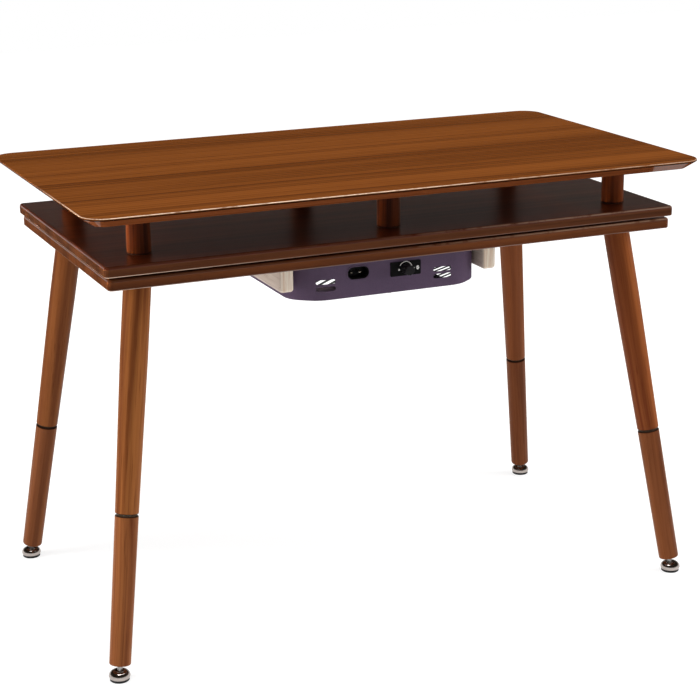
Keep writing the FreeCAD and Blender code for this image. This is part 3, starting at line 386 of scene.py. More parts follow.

# %% Painted highlight along the board
# Where the painted highlight on the arrises is strong: in patches, along the front and at the left end.
highlight_share = ramped(tree, noise(tree, given["Vector"], 38.0, 3.0, 0.7), 0.25, 0.55)
depth_share = sum_of(tree, "DIVIDE", place["Y"], given["Half depth"])
length_share = sum_of(tree, "DIVIDE", place["X"], given["Half length"])
front = ramped(tree, depth_share, 0.1, -0.8)
crossing = ranged(tree, length_share, -0.1, 0.6, given["Left wear"], given["Right wear"])
left_corner = ranged(tree, length_share, -0.995, -0.94, 0.5, 1.0)
left_end = ranged(tree, length_share, -0.95, -0.3, 1.0, 0.03)
upper_highlight = sum_of(tree, "MULTIPLY", front, sum_of(tree, "MULTIPLY", crossing, left_corner))

# %% Board sides and arrises
over = sum_of(tree, "SUBTRACT", place["Z"], given["Top"])
under = sum_of(tree, "SUBTRACT", given["Bottom"], place["Z"])
for label, face, size, highlight in (("Upper arris", over, "Upper round", upper_highlight),
                                ("Lower arris", under, "Lower round", left_end)):
    share = sum_of(tree, "DIVIDE", sum_of(tree, "ADD", outward, face), given[size])
    band = ramped(tree, share, -0.76, -0.62)
    tree.links.new(sum_of(tree, "MULTIPLY", band, sum_of(tree, "MULTIPLY", highlight_share, highlight)), made[label])
above_seam = sum_of(tree, "ADD", over, given["Seam"])
tree.links.new(ramped(tree, sum_of(tree, "MULTIPLY", above_seam, -1.0), -0.0004, 0.0), made["Side"])
# A dark line of painted shade along the seam under the nose.
at_seam = ramped(tree, sum_of(tree, "ABSOLUTE", above_seam), 0.0014, 0.0006)
near_side = ramped(tree, outward, -0.004, -0.003)
tree.links.new(sum_of(tree, "MULTIPLY", at_seam, near_side), made["Seam"])
print("group", board_edges.name, "has", len(board_edges.nodes), "nodes")

# %% [markdown]
# A finish is a Principled shader with its wires. Numbers that are the same all over a surface, such as the
# weight of the lacquer coat, go straight into the shader.

# %% Start of a finish
def new_finish(name, **settings):
    material = bpy.data.materials.new(name)
    tree = blank_tree(material)
    shader = add(tree, "BsdfPrincipled")
    add(tree, "OutputMaterial", {"Surface": shader.outputs[0]})
    for label, value in settings.items():
        shader.inputs[label.replace("_", " ")].default_value = value
    return material, tree, shader


def wire(tree, source, shader, label):
    tree.links.new(source, shader.inputs[label])


def spots(tree):
    """The place of each point on the object."""
    return add(tree, "TexCoord").outputs["Object"]


def roughen(tree, shader, height, strength, distance=0.0002):
    """Turn a height into a bump on the shader."""
    bump = add(tree, "Bump", {"Height": height, "Strength": strength, "Distance": distance})
    wire(tree, bump.outputs[0], shader, "Normal")


def cover(tree, shader, colour, face, strength, distance=0.0002):
    """Wire a colour, and the gloss and relief of a pattern, into the shader."""
    wire(tree, colour, shader, "Base Color")
    wire(tree, face["Roughness"], shader, "Roughness")
    roughen(tree, shader, face["Height"], strength, distance)


def dress(material, *names):
    """Give a finish to engineering pieces; their shapes stay as they are."""
    for name in names:
        for slot in nodes[name].material_slots:
            slot.material = material
    print(material.name, "on", ", ".join(names))


# %% [markdown]
# ### The three boards
# The desktop shows its veneer best: warm brown, long lines from end to end, a semi-gloss coat. Below its
# rounded nose the edge is cut back, and the seam under it is darkened with painted shade; a pale line
# painted along the nose stands in for its highlight. The shelf board and the base board are darker and
# smoother, with a thicker coat.

# %% Board finishes
# Painted shade for the seam under the nose, where the edge is cut back.
seam_shade = chart(36, 16, 8)


def board_finish(name, node, tones, painted_highlight, painted_light_shares, seed, edges, settings, **grain):
    """Tones are light and dark of the faces, then of the sides; shares are of the painted highlight on the
    upper arris and the lower arris, and of the painted shade in the seam.
    """
    low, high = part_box(node)
    material, tree, shader = new_finish(name, **settings)
    spot = spots(tree)
    moved = add(tree, "Mapping", {"Vector": spot, "Location": seed}).outputs[0]
    face, side = [use_group(tree, long_grain, {"Vector": moved, "Light": light, "Dark": dark, **grain})
                  for light, dark in (tones[:2], tones[2:])]
    outline = {"Vector": spot, "Half length": high.x, "Half depth": high.y, "Top": high.z, "Bottom": low.z}
    edge = use_group(tree, board_edges, {**outline, **edges})
    colour = mixed(tree, edge["Side"], face["Color"], side["Color"])
    # A pale colour painted on the arrises as a highlight.
    upper = sum_of(tree, "MULTIPLY", edge["Upper arris"], painted_light_shares[0])
    highlight_share = sum_of(tree, "MULTIPLY_ADD", edge["Lower arris"], painted_light_shares[1], upper)
    colour = mixed(tree, highlight_share, colour, painted_highlight)
    # A dark line painted as shade in the seam.
    colour = mixed(tree, sum_of(tree, "MULTIPLY", edge["Seam"], painted_light_shares[2]), colour, seam_shade)
    cover(tree, shader, colour, face, 0.025)
    dress(material, node)


# %% Desktop
top_lacquer = {"Coat_Weight": 0.35, "Coat_Roughness": 0.08, "Specular_IOR_Level": 0.0}
nosed = {"Corner": 0.035, "Upper round": 0.0018, "Lower round": 0.005, "Seam": 0.0032, "Left wear": 1.0,
         "Right wear": 0.4}
desktop_tones = (chart(125, 70, 28), chart(87, 45, 16), chart(128, 70, 38), chart(92, 46, 22))
# The pale chart colour is the painted highlight on the nose; the shares are of it on the upper and lower
# arris, then of the painted shade in the seam.
board_finish("Desktop veneer", "desktop", desktop_tones, chart(248, 220, 192), (0.95, 0.0, 0.95),
             (0.13, 0.31, 0.05), nosed, top_lacquer, Bands=18.0, Streaks=58.0, Lines=0.4)

# %% Shelf board and base board
lacquer = {"Coat_Weight": 0.5, "Coat_Roughness": 0.06, "Coat_Tint": (1.0, 0.86, 0.8, 1),
           "Specular_IOR_Level": 0.16}
even = {"Lines": 0.2, "Gloss low": 0.31, "Gloss high": 0.35}
eased = {"Corner": 0.007, "Upper round": 0.004, "Lower round": 0.0024, "Seam": 0.004}
shelf_tones = (chart(94, 42, 20), chart(59, 25, 11), chart(108, 63, 34), chart(50, 24, 10))
base_tones = (chart(104, 56, 26), chart(66, 31, 11), chart(121, 69, 35), chart(68, 33, 13))
# Pale chart colours for the painted highlights on the arrises of the shelf board and the base board.
board_finish("Shelf veneer", "shelf_board", shelf_tones, chart(240, 214, 190), (0.3, 0.9, 0.0),
             (0.61, 0.12, 0.4), eased, lacquer, **even)
board_finish("Base veneer", "base_board", base_tones, chart(226, 194, 166), (0.4, 0.6, 0.0),
             (0.27, 0.83, 0.2), eased, lacquer, **even)

# %% [markdown]
# ### Posts and legs
# These are turned from solid wood, so the grain runs up their axis. The same group is used, with X laid
# along the axis. The posts are upright, so one turn of the pattern serves all six. Each leg leans its own
# way, and its pattern is turned to match, otherwise the lines would run out of the leg's side. Each leg is
# two lengths of wood that were turned from different sticks, so each length has tones of its own. A dark
# ring is painted as shade in the open joint between them, and where the posts stand on the shelf board.

# %% Turned wood
satin_sheen = {"Coat_Weight": 0.03, "Coat_Roughness": 0.2, "Specular_IOR_Level": 0.08, "Sheen_Weight": 0.25,
               "Sheen_Roughness": 0.35, "Sheen_Tint": (1.0, 0.72, 0.42, 1)}
# Painted shade in the joint of each leg and at the foot of each post.
joint_shade = chart(44, 18, 8)
shade_reach, shade_core = 0.0031, 0.0022


def turned_finish(name, foot, axis, light, dark, seed, joint, **grain):
    """Wood along an axis that starts at a foot, with a ring of painted shade where the joint is up that axis.
    """
    material, tree, shader = new_finish(name, **satin_sheen)
    turn = Vector(axis).rotation_difference(Vector((1, 0, 0))).to_matrix()
    shift = Vector(seed) - turn @ Vector(foot)
    moved = add(tree, "Mapping", {"Vector": spots(tree), "Location": shift,
                                  "Rotation": turn.to_euler("XYZ")}).outputs[0]
    face = use_group(tree, long_grain, {"Vector": moved, "Light": light, "Dark": dark, **grain})
    # Painted shade darkens a ring round the joint.
    along = add(tree, "SeparateXYZ", {0: moved}).outputs["X"]
    off = sum_of(tree, "ABSOLUTE", sum_of(tree, "SUBTRACT", along, joint + seed[0]))
    colour = mixed(tree, ramped(tree, off, shade_reach, shade_core), face["Color"], joint_shade)
    cover(tree, shader, colour, face, 0.12)
    return material


satin = {"Gloss low": 0.4, "Gloss high": 0.58}
post_start = 0.62
post_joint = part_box("shelf_board")[1].z - post_start
post_wood = turned_finish("Post wood", (0, 0, post_start), (0, 0, 1), chart(118, 54, 19), chart(52, 18, 5),
                          (0.2, 0.4, 0.6), post_joint, Bands=18.0, Streaks=220.0, **satin)
dress(post_wood, *[name for name in nodes if name.startswith("post_") and name != "post_bolts"])

# %% Legs and their lean
corners = {"front_left": (-1, -1), "front_right": (1, -1), "rear_left": (-1, 1), "rear_right": (1, 1)}
leg_head = Vector((0.4007, 0.1784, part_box("base_board")[0].z))
leg_foot = Vector((0.4804, 0.2602, 0.0))
leg_joint = 0.2492


def leg_ends(corner):
    """Foot and head of a leg's centre line, on the floor and under the base board."""
    side, depth = corners[corner]
    return [Vector((side * end.x, depth * end.y, end.z)) for end in (leg_foot, leg_head)]


print("legs lean by", round(math.degrees((leg_head - leg_foot).angle(Vector((0, 0, 1)))), 1), "degrees")

# %% Leg wood
# light and dark of the upper leg, then of the extension
leg_tones = {
    "front_left": ((176, 109, 56), (84, 28, 3), (160, 97, 53), (90, 37, 12)),
    "front_right": ((158, 88, 42), (102, 44, 16), (136, 78, 42), (97, 49, 24)),
    "rear_left": ((140, 82, 40), (88, 40, 17), (136, 80, 44), (94, 48, 25)),
    "rear_right": ((132, 73, 38), (84, 41, 19), (132, 74, 40), (88, 44, 21)),
}
for index, corner in enumerate(corners):
    foot, head = leg_ends(corner)
    axis = (head - foot).normalized()
    for step, (length, streaks) in enumerate((("upper_leg_", 190.0), ("leg_extension_", 260.0))):
        light, dark = leg_tones[corner][2 * step:2 * step + 2]
        seed = (0.3 * index + 0.7 * step, 0.17 * index + 0.31 * step, 0.05)
        wood = turned_finish("Wood of " + length + corner, foot, axis, chart(*light), chart(*dark), seed,
                             leg_joint, Bands=36.0, Streaks=streaks, Lines=0.15, **satin)
        dress(wood, length + corner)

# %% [markdown]
# ### Plywood rails
# The two rails beside the heater are bare plywood. On their sides it is a plain pale sheet, on the ends
# one sees the layers, pale and darker in turn and none quite as thick as the next. Even stripes would look
# printed, so noise that only changes across the layers draws them instead.

# %% Rail plywood
rail_plywood, tree, shader = new_finish("Rail plywood", Specular_IOR_Level=0.3)
spot = spots(tree)
layers = noise(tree, scaled(tree, spot, (1.0, 0.01, 0.03)), 420.0, 1.0, 0.4)
fine_layers = noise(tree, scaled(tree, spot, (1.0, 0.02, 0.05)), 1100.0, 1.0, 0.5)
along = add(tree, "Mapping", {"Vector": spot, "Rotation": (0, 0, math.radians(90))}).outputs[0]
side_sheet = use_group(tree, long_grain, {"Vector": along, "Light": chart(220, 205, 192),
                                          "Dark": chart(202, 185, 170), "Streaks": 240.0, "Lines": 0.1,
                                          "Gloss low": 0.5, "Gloss high": 0.65})
thin_layers = sum_of(tree, "MULTIPLY", ramped(tree, fine_layers, 0.55, 0.75), 0.5)
end_tone = mixed(tree, ramped(tree, layers, 0.38, 0.62), chart(255, 242, 224), chart(238, 214, 190))
end_tone = mixed(tree, thin_layers, end_tone, chart(208, 174, 146))
facing = add(tree, "SeparateXYZ", {0: add(tree, "NewGeometry").outputs["Normal"]}).outputs
on_end = ramped(tree, sum_of(tree, "ABSOLUTE", facing["Y"]), 0.6, 0.9)
cover(tree, shader, mixed(tree, on_end, side_sheet["Color"], end_tone), side_sheet, 0.4)
dress(rail_plywood, "rail_left", "rail_right")

# %% [markdown]
# ## Metal, paint and plastic
# Sheet steel with baked paint isn't flat: the paint dries to a fine orange peel, and its tone wanders a
# little. The same group, at other sizes, makes the grain of moulded plastic and of rubber, so it takes a
# size and a depth.

# %% Fine skin
fine_skin, given, made = new_group("Fine skin", {
    "Vector": ("Vector", None),
    "Color": ("Color", (0.1, 0.1, 0.1, 1)),
    "Grain size": ("Float", 900.0),
    "Cloud size": ("Float", 12.0),
    "Cloud": ("Float", 0.15),
    "Gloss low": ("Float", 0.35),
    "Gloss high": ("Float", 0.5),
}, {"Color": "Color", "Roughness": "Float", "Height": "Float"})
tree = fine_skin
grain = noise(tree, given["Vector"], given["Grain size"], 2.0, 0.5)
cloud = noise(tree, given["Vector"], given["Cloud size"], 4.0, 0.6)
wander = sum_of(tree, "MULTIPLY", sum_of(tree, "SUBTRACT", cloud, 0.5), given["Cloud"])
wander = sum_of(tree, "MULTIPLY_ADD", sum_of(tree, "SUBTRACT", grain, 0.5), given["Cloud"], wander)
bright = sum_of(tree, "ADD", 1.0, wander)
gain = add(tree, "CombineXYZ", {"X": bright, "Y": bright, "Z": bright}).outputs[0]
tree.links.new(mixed(tree, 1.0, given["Color"], gain, "MULTIPLY"), made["Color"])
tree.links.new(gloss_between(tree, cloud, given), made["Roughness"])
tree.links.new(grain, made["Height"])
print("group", fine_skin.name, "has", len(fine_skin.nodes), "nodes")


# %% Paint and plastics
def skin_finish(name, colour, strength=0.2, distance=0.0001, specular=0.5, **skin):
    material, tree, shader = new_finish(name, Specular_IOR_Level=specular)
    inputs = {label.replace("_", " "): value for label, value in skin.items()}
    face = use_group(tree, fine_skin, {"Vector": spots(tree), "Color": colour, **inputs})
    cover(tree, shader, face["Color"], face, strength, distance)
    return material


heater_paint = skin_finish("Heater paint", chart(93, 75, 99), 0.25, specular=0.25, Grain_size=700.0,
                           Cloud=0.3)
guard_paint = skin_finish("Guard paint", chart(44, 40, 46), 0.2, Grain_size=900.0)
control_plastic = skin_finish("Control plastic", chart(11, 10, 12), 0.3, specular=0.12, Grain_size=1600.0)
knob_plastic = skin_finish("Knob plastic", chart(34, 32, 34), 0.2, specular=0.2, Grain_size=1600.0)
inlet_plastic = skin_finish("Inlet plastic", chart(14, 13, 14), 0.2, specular=0.2, Grain_size=1800.0)
switch_plastic = skin_finish("Switch plastic", chart(46, 42, 38), 0.3, Grain_size=1300.0)
foot_rubber = skin_finish("Foot rubber", chart(10, 10, 10), 0.5, 0.0002, Grain_size=1100.0, Gloss_low=0.65,
                          Gloss_high=0.85)
ceramic = skin_finish("Holder ceramic", chart(224, 218, 204), 0.3, Grain_size=800.0, Cloud=0.08,
                      Gloss_low=0.6, Gloss_high=0.75)
print_white = skin_finish("White print", chart(242, 242, 238), 0.1, Grain_size=2000.0, Cloud=0.05)

# %% [markdown]
# Behind the lower left air slot lies a baffle of pressed mica, a pale flaky sheet that stands the heat. It is
# ribbed to keep it stiff. At this size the ribs need no modelling: a wave texture gives their tone and bump.

# %% Mica sheet
mica, tree, shader = new_finish("Mica sheet", Specular_IOR_Level=0.4)
spot = spots(tree)
ribs = add(tree, "TexWave", {"Vector": scaled(tree, spot, (0.03, 0.03, 1.0)), "Scale": 105.0,
                             "Distortion": 2.5}, bands_direction="Z").outputs[1]
flecks = noise(tree, scaled(tree, spot, (1.0, 1.0, 3.0)), 260.0, 3.0, 0.6)
ribbed = mixed(tree, ramped(tree, ribs, 0.35, 0.85), chart(206, 182, 206), chart(255, 240, 255))
flaked = mixed(tree, ramped(tree, flecks, 0.45, 0.7), ribbed, chart(232, 212, 222))
wire(tree, flaked, shader, "Base Color")
wire(tree, ranged(tree, flecks, 0.0, 1.0, 0.35, 0.6), shader, "Roughness")
roughen(tree, shader, ribs, 0.5, 0.0003)

# %% Paint and plastic on their pieces
dress(heater_paint, "heater_case")
dress(mica, "wiring_baffle")
dress(guard_paint, "heater_guard")
dress(control_plastic, "control_plate")
dress(knob_plastic, "control_knob")
dress(inlet_plastic, "inlet_body")
dress(switch_plastic, "thermostat")
dress(foot_rubber, "antislip_pads", *["glide_rubber_" + corner for corner in corners])
dress(ceramic, "tube_holders", "terminal_block")

# %% [markdown]
# Metals differ mostly in how sharply they mirror. Chrome is nearly a mirror with faint smears; zinc-plated
# screws are duller and streaked; the reflector is bright sheet. One group gives the streaks.

# %% Metal skin
metal_skin, given, made = new_group("Metal skin", {
    "Vector": ("Vector", None),
    "Color": ("Color", (0.8, 0.8, 0.8, 1)),
    "Smears": ("Float", 60.0),
    "Streak": ("Vector", (1.0, 1.0, 8.0)),
    "Gloss low": ("Float", 0.08),
    "Gloss high": ("Float", 0.2),
}, {"Color": "Color", "Roughness": "Float", "Height": "Float"})
tree = metal_skin
smears = noise(tree, scaled(tree, given["Vector"], given["Streak"]), given["Smears"], 3.0, 0.6)
dull = ramped(tree, smears, 0.35, 0.7)
shade = mixed(tree, 1.0, given["Color"], (0.82, 0.82, 0.83, 1), "MULTIPLY")
tree.links.new(mixed(tree, dull, given["Color"], shade), made["Color"])
tree.links.new(gloss_between(tree, dull, given), made["Roughness"])
tree.links.new(smears, made["Height"])
print("group", metal_skin.name, "has", len(metal_skin.nodes), "nodes")


# %% Metals
def metal_finish(name, colour, smears, gloss, strength=0.1, **skin):
    material, tree, shader = new_finish(name, Metallic=1.0)
    inputs = {"Smears": smears, "Gloss low": gloss[0], "Gloss high": gloss[1], **skin}
    face = use_group(tree, metal_skin, {"Vector": spots(tree), "Color": colour, **inputs})
    cover(tree, shader, face["Color"], face, strength, 0.0001)
    return material


cap_chrome = metal_finish("Cap chrome", chart(180, 170, 164), 150.0, (0.12, 0.22), 0.03)
stem_steel = metal_finish("Stem steel", chart(206, 206, 204), 260.0, (0.18, 0.34))
fastener_steel = metal_finish("Fastener steel", chart(196, 194, 186), 320.0, (0.25, 0.45))
reflector_metal = metal_finish("Reflector metal", chart(224, 224, 222), 40.0, (0.12, 0.3), 0.15,
                               Streak=(6.0, 1.0, 1.0))
coil_metal = metal_finish("Coil metal", chart(140, 132, 124), 200.0, (0.35, 0.55))
fuse_metal = metal_finish("Fuse metal", chart(206, 204, 198), 200.0, (0.25, 0.4))
pin_nickel = metal_finish("Pin nickel", chart(214, 206, 190), 300.0, (0.14, 0.3))

# %% Metals on their pieces
dress(cap_chrome, *["glide_cap_" + corner for corner in corners])
dress(stem_steel, *["glide_stem_" + corner for corner in corners])
dress(fastener_steel, "post_bolts", "desktop_inserts", "board_inserts", "hanger_bolts", "joint_nuts",
      "extension_studs", "leg_end_nuts", "rail_screws", "heater_screws", "guard_screws", "spindle_nut",
      "control_spindle")
dress(reflector_metal, "reflector")
dress(coil_metal, "heating_coils")
dress(fuse_metal, "thermal_fuse")
dress(pin_nickel, "inlet_pins")

# %% [markdown]
# Two more finishes stand alone. The quartz tubes are milky glass: light passes, but blurred. The leads wear a
# sleeve of woven glass fibre, two sets of slanting threads that cross.

# %% Quartz
quartz, tree, shader = new_finish("Quartz", Base_Color=(0.93, 0.93, 0.91, 1), Transmission_Weight=0.9,
                                  IOR=1.46)
milk = noise(tree, scaled(tree, spots(tree), (0.2, 1.0, 1.0)), 220.0, 3.0)
wire(tree, ranged(tree, milk, 0.0, 1.0, 0.16, 0.4), shader, "Roughness")
dress(quartz, "quartz_tube_front", "quartz_tube_rear")

# %% Woven sleeves
lead_sleeve, tree, shader = new_finish("Lead sleeve", Specular_IOR_Level=0.3)
spot = spots(tree)
threads = []
for slant in (math.radians(35), math.radians(-35)):
    turned = add(tree, "Mapping", {"Vector": spot, "Rotation": (slant, slant, 0)}).outputs[0]
    thread = add(tree, "TexWave", {"Vector": turned, "Scale": 420.0}, bands_direction="DIAGONAL")
    threads.append(thread.outputs[1])
weave = sum_of(tree, "MAXIMUM", *threads)
wire(tree, mixed(tree, weave, chart(176, 170, 158), chart(226, 222, 212)), shader, "Base Color")
wire(tree, ranged(tree, weave, 0.0, 1.0, 0.8, 0.6), shader, "Roughness")
roughen(tree, shader, weave, 0.6)
dress(lead_sleeve, "inner_leads")

# %% [markdown]
# ## Pieces that need a finer shape
# Now some modelling. A few helpers do what one does by hand all the time: put everything out of selection,
# write a piece's place into its mesh and open it for editing, pick faces, edges or vertices by a rule, join
# and copy pieces, and finish a piece, which means shading it smooth where it is round, and letting it ride
# on the body that carries it.

# %% Helpers for modelling
def nothing_selected():
    if bpy.context.object and bpy.context.object.mode != "OBJECT":
        bpy.ops.object.mode_set(mode="OBJECT")
    bpy.ops.object.select_all(action="DESELECT")


def open_for_edit():
    """Write the active piece's place, turn and size into its mesh, and go into edit mode."""
    bpy.ops.object.transform_apply(location=True, rotation=True, scale=True)
    bpy.ops.object.mode_set(mode="EDIT")
    return bpy.context.object


def pick(piece, kind, rule):
    """In edit mode, select only the vertices, edges or faces that a rule accepts."""
    mode = {"vertices": "VERT", "edges": "EDGE", "polygons": "FACE"}[kind]
    bpy.ops.mesh.select_mode(type=mode)
    bpy.ops.mesh.select_all(action="DESELECT")
    bpy.ops.object.mode_set(mode="OBJECT")
    for element in getattr(piece.data, kind):
        element.select = rule(element)
    bpy.ops.object.mode_set(mode="EDIT")


def pick_edges(piece, rule):
    """In edit mode, select only the edges that have both ends at places that a rule accepts."""
    pick(piece, "edges", lambda edge: all(rule(piece.data.vertices[end].co) for end in edge.vertices))


def push_in(wall, x=0, y=0, z=0):
    """Inset the picked face by a wall and move what is left of it."""
    bpy.ops.mesh.inset(thickness=wall)
    bpy.ops.mesh.extrude_region_move(TRANSFORM_OT_translate={"value": (x, y, z)})


def joined(pieces):
    """Make one piece of several; the first one keeps its name."""
    nothing_selected()
    for piece in pieces:
        piece.select_set(True)
    bpy.context.view_layer.objects.active = pieces[0]
    bpy.ops.object.join()
    return pieces[0]


def twin(piece):
    """A copy with a mesh of its own."""
    copy = piece.copy()
    copy.data = piece.data.copy()
    scene.collection.objects.link(copy)
    return copy


# %% Finish a piece
def finish_piece(piece, name, body, material, smooth_below=40, place=None):
    nothing_selected()
    piece.select_set(True)
    bpy.context.view_layer.objects.active = piece
    if place is not None:
        piece.location = place
    bpy.ops.object.transform_apply(location=True, rotation=True, scale=True)
    bpy.ops.object.shade_smooth_by_angle(angle=math.radians(smooth_below))
    piece.name = name
    piece.data.materials.clear()
    piece.data.materials.append(material)
    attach(piece, body)
    uses = Counter(key for polygon in piece.data.polygons for key in polygon.edge_keys)
    odd = sum(count != 2 for count in uses.values())
    print(name, "has", len(piece.data.polygons), "faces and", odd, "edges not shared by two faces")


print("modelling helpers ready")

# %% [markdown]
# ### Scale beside the knob
# White marks are printed on the black plate: a dot for off, an arc that goes round the knob, a short tick
# and an oval at the warm end. The arc is a small square spun round the knob's axis, which is exactly how
# such a line is drawn with a compass. The marks stand proud by a tenth of a millimetre, as thick ink does.

# %% Arc round the knob
plate_low, plate_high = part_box("control_plate")
plate_face = plate_low.y
knob_x, knob_z = (plate_low.x + plate_high.x) / 2, (plate_low.z + plate_high.z) / 2
ink = 0.00010
arc_radius, arc_width = 0.0107, 0.0014
arc_from, arc_to = math.radians(168), math.radians(16)
nothing_selected()
bpy.ops.mesh.primitive_plane_add(size=1)
bpy.context.object.scale = (arc_width, ink, 1)
bpy.context.object.location = (arc_radius, -ink / 2, 0)
arc = open_for_edit()
bpy.ops.mesh.select_all(action="SELECT")
bpy.ops.mesh.spin(steps=36, angle=arc_from - arc_to, center=(0, 0, 0), axis=(0, 1, 0))
bpy.ops.mesh.select_all(action="SELECT")
bpy.ops.mesh.remove_doubles(threshold=0.000001)
bpy.ops.mesh.normals_make_consistent(inside=False)
bpy.ops.object.mode_set(mode="OBJECT")
print("knob at", round(knob_x, 4), round(knob_z, 4), "and arc", [round(size, 4) for size in arc.dimensions])
finish_piece(arc, "scale_arc", "base", print_white, place=(knob_x, plate_face, knob_z))

# %% [markdown]
# The dot, the tick and the oval are discs of ink. A cylinder is laid on the plate, squeezed to its width and
# height, and its front rim is bevelled, so that it catches light as ink does. The oval is parted by a
# slanting slit: the disc is made twice, and each time the bisect tool keeps another half.

# %% Discs of ink
def ink_disc(across, up, width, height):
    """A disc on the plate, placed by its distance across and up from the knob's axis."""
    nothing_selected()
    bpy.ops.mesh.primitive_cylinder_add(vertices=32, radius=0.5, depth=1, rotation=(math.radians(90), 0, 0))
    bpy.context.object.scale = (width, height, ink)
    bpy.context.object.location = (knob_x + across, plate_face - ink / 2, knob_z + up)
    disc = open_for_edit()
    pick_edges(disc, lambda end: end.y < plate_face - ink / 2)
    bpy.ops.mesh.bevel(offset=ink / 3, segments=1)
    bpy.ops.object.mode_set(mode="OBJECT")
    return disc


dot = ink_disc(-0.0112, -0.0014, 0.0028, 0.0028)
finish_piece(dot, "scale_dot", "base", print_white)
tick = ink_disc(0.0143, -0.0004, 0.0017, 0.0011)
finish_piece(tick, "scale_tick", "base", print_white)

# %% Oval in two halves
oval_across, oval_up = 0.0204, -0.0006
oval_width, oval_height, half_slit = 0.0050, 0.0066, 0.00035
halves = []
for keep_upper in (True, False):
    half = ink_disc(oval_across, oval_up, oval_width, oval_height)
    nothing_selected()
    half.select_set(True)
    bpy.context.view_layer.objects.active = half
    bpy.ops.object.mode_set(mode="EDIT")
    bpy.ops.mesh.select_all(action="SELECT")
    slit = half_slit if keep_upper else -half_slit
    bpy.ops.mesh.bisect(plane_co=(knob_x + oval_across, 0, knob_z + oval_up + slit), plane_no=(-0.5, 0, 0.87),
                        use_fill=True, clear_inner=keep_upper, clear_outer=not keep_upper)
    bpy.ops.object.mode_set(mode="OBJECT")
    halves.append(half)
oval = joined(halves)
finish_piece(oval, "scale_oval", "base", print_white)

# %% [markdown]
# ### Knob
# The knob is a moulded cap with twelve grip flutes, a hollow back and a raised pointer. It starts as a
# cylinder of 72 sides: six to a flute. The back is inset and pushed in twice, for the skirt and for the bore
# of the spindle. Then three of every six lines of the side are drawn inwards, and the front is narrowed,
# rounded and sunk a little.

# %% Knob body
near = 0.0001
knob_radius, knob_tip, knob_length = 0.0085, 0.0079, 0.0156
skirt_wall, skirt_depth = 0.0014, 0.0022
bore_wall, bore_depth = 0.00405, 0.0098
nothing_selected()
bpy.ops.mesh.primitive_cylinder_add(vertices=72, radius=knob_radius, depth=knob_length,
                                    location=(0, 0, knob_length / 2))
knob = open_for_edit()
pick(knob, "polygons", lambda face: face.normal.z < -0.9)
push_in(skirt_wall, z=skirt_depth)
push_in(bore_wall, z=bore_depth)
print("knob hollowed by", round(1000 * (skirt_depth + bore_depth), 1), "mm")

# %% Knob flutes and front
flutes = 12
flute_angle = 360 / flutes
flute_reach, flute_share = 0.0078, 0.93


def on_rim(place):
    return place.z > knob_length - near


def in_flute(vertex):
    angle = math.degrees(math.atan2(vertex.co.y, vertex.co.x)) % flute_angle
    outside = math.hypot(vertex.co.x, vertex.co.y) > flute_reach
    return outside and abs(angle - flute_angle / 2) < flute_angle / 5


pick(knob, "vertices", in_flute)
bpy.ops.transform.resize(value=(flute_share, flute_share, 1))
pick(knob, "vertices", lambda vertex: on_rim(vertex.co))
bpy.ops.transform.resize(value=(knob_tip / knob_radius, knob_tip / knob_radius, 1))
pick_edges(knob, on_rim)
bpy.ops.mesh.bevel(offset=0.0008, segments=3)
pick(knob, "polygons", lambda face: face.normal.z > 0.99 and on_rim(face.center))
push_in(0.0005, z=-0.00025)
bpy.ops.object.mode_set(mode="OBJECT")
print("knob has", len(knob.data.polygons), "faces")

# %% Knob pointer
pointer_size, pointer_reach = (0.0052, 0.0011, 0.0008), 0.0042
nothing_selected()
bpy.ops.mesh.primitive_cube_add(size=1, location=(pointer_reach, 0, knob_length - near))
bpy.context.object.scale = pointer_size
pointer = open_for_edit()
pick_edges(pointer, lambda end: end.z > knob_length)
bpy.ops.mesh.bevel(offset=0.0002, segments=2)
bpy.ops.object.mode_set(mode="OBJECT")
knob = joined([knob, pointer])
knob.rotation_euler = (math.radians(90), math.radians(173), 0)
knob_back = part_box("control_knob")[1].y
finish_piece(knob, "knob_cap", "knob", knob_plastic, place=(knob_x, knob_back, knob_z))
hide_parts("control_knob")

# %% [markdown]
# ### Cup of the appliance inlet
# The cup is a tray with round ends. A cylinder becomes one when its left and right halves are moved apart.
# The front is inset by the rim and pushed in, first a step and then the whole hollow, its floor is raised a
# little, and the mouth gets a lead-in bevel that guides the plug.

# %% Inlet cup
cup_low, cup_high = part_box("inlet_body")
cup_x, cup_z = (cup_low.x + cup_high.x) / 2, (cup_low.z + cup_high.z) / 2
cup_radius = (cup_high.z - cup_low.z) / 2
cup_reach = (cup_high.x - cup_low.x) / 2 - cup_radius
cup_depth = cup_high.y - cup_low.y
cup_middle = (cup_x, (cup_low.y + cup_high.y) / 2, cup_z)
rim, step_width, hollow_depth = 0.0010, 0.0006, 0.0158
floor_margin, floor_rise = 0.0016, 0.0010
nothing_selected()
bpy.ops.mesh.primitive_cylinder_add(vertices=40, radius=cup_radius, depth=cup_depth,
                                    rotation=(math.radians(90), 0, 0))
cup = open_for_edit()
for side in (-1, 1):
    pick(cup, "vertices", lambda vertex: vertex.co.x * side > near)
    bpy.ops.transform.translate(value=(side * cup_reach, 0, 0))
pick(cup, "polygons", lambda face: face.normal.y < -0.9)
push_in(rim, y=rim)
push_in(step_width, y=hollow_depth)
push_in(floor_margin, y=-floor_rise)
pick_edges(cup, lambda end: end.y < near - cup_depth / 2)
bpy.ops.mesh.bevel(offset=0.0002, segments=1)
bpy.ops.object.mode_set(mode="OBJECT")
finish_piece(cup, "inlet_cup", "base", inlet_plastic, place=cup_middle)
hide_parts("inlet_body")

# %% [markdown]
# ### Heating coils
# Inside each quartz tube lies a wound wire. The Screw modifier makes it: it carries a small ring round an
# axis and lifts it by one pitch at every turn. A hundred turns fill the warm length, and at both ends the
# wire is led to the middle and out to the tube's end.

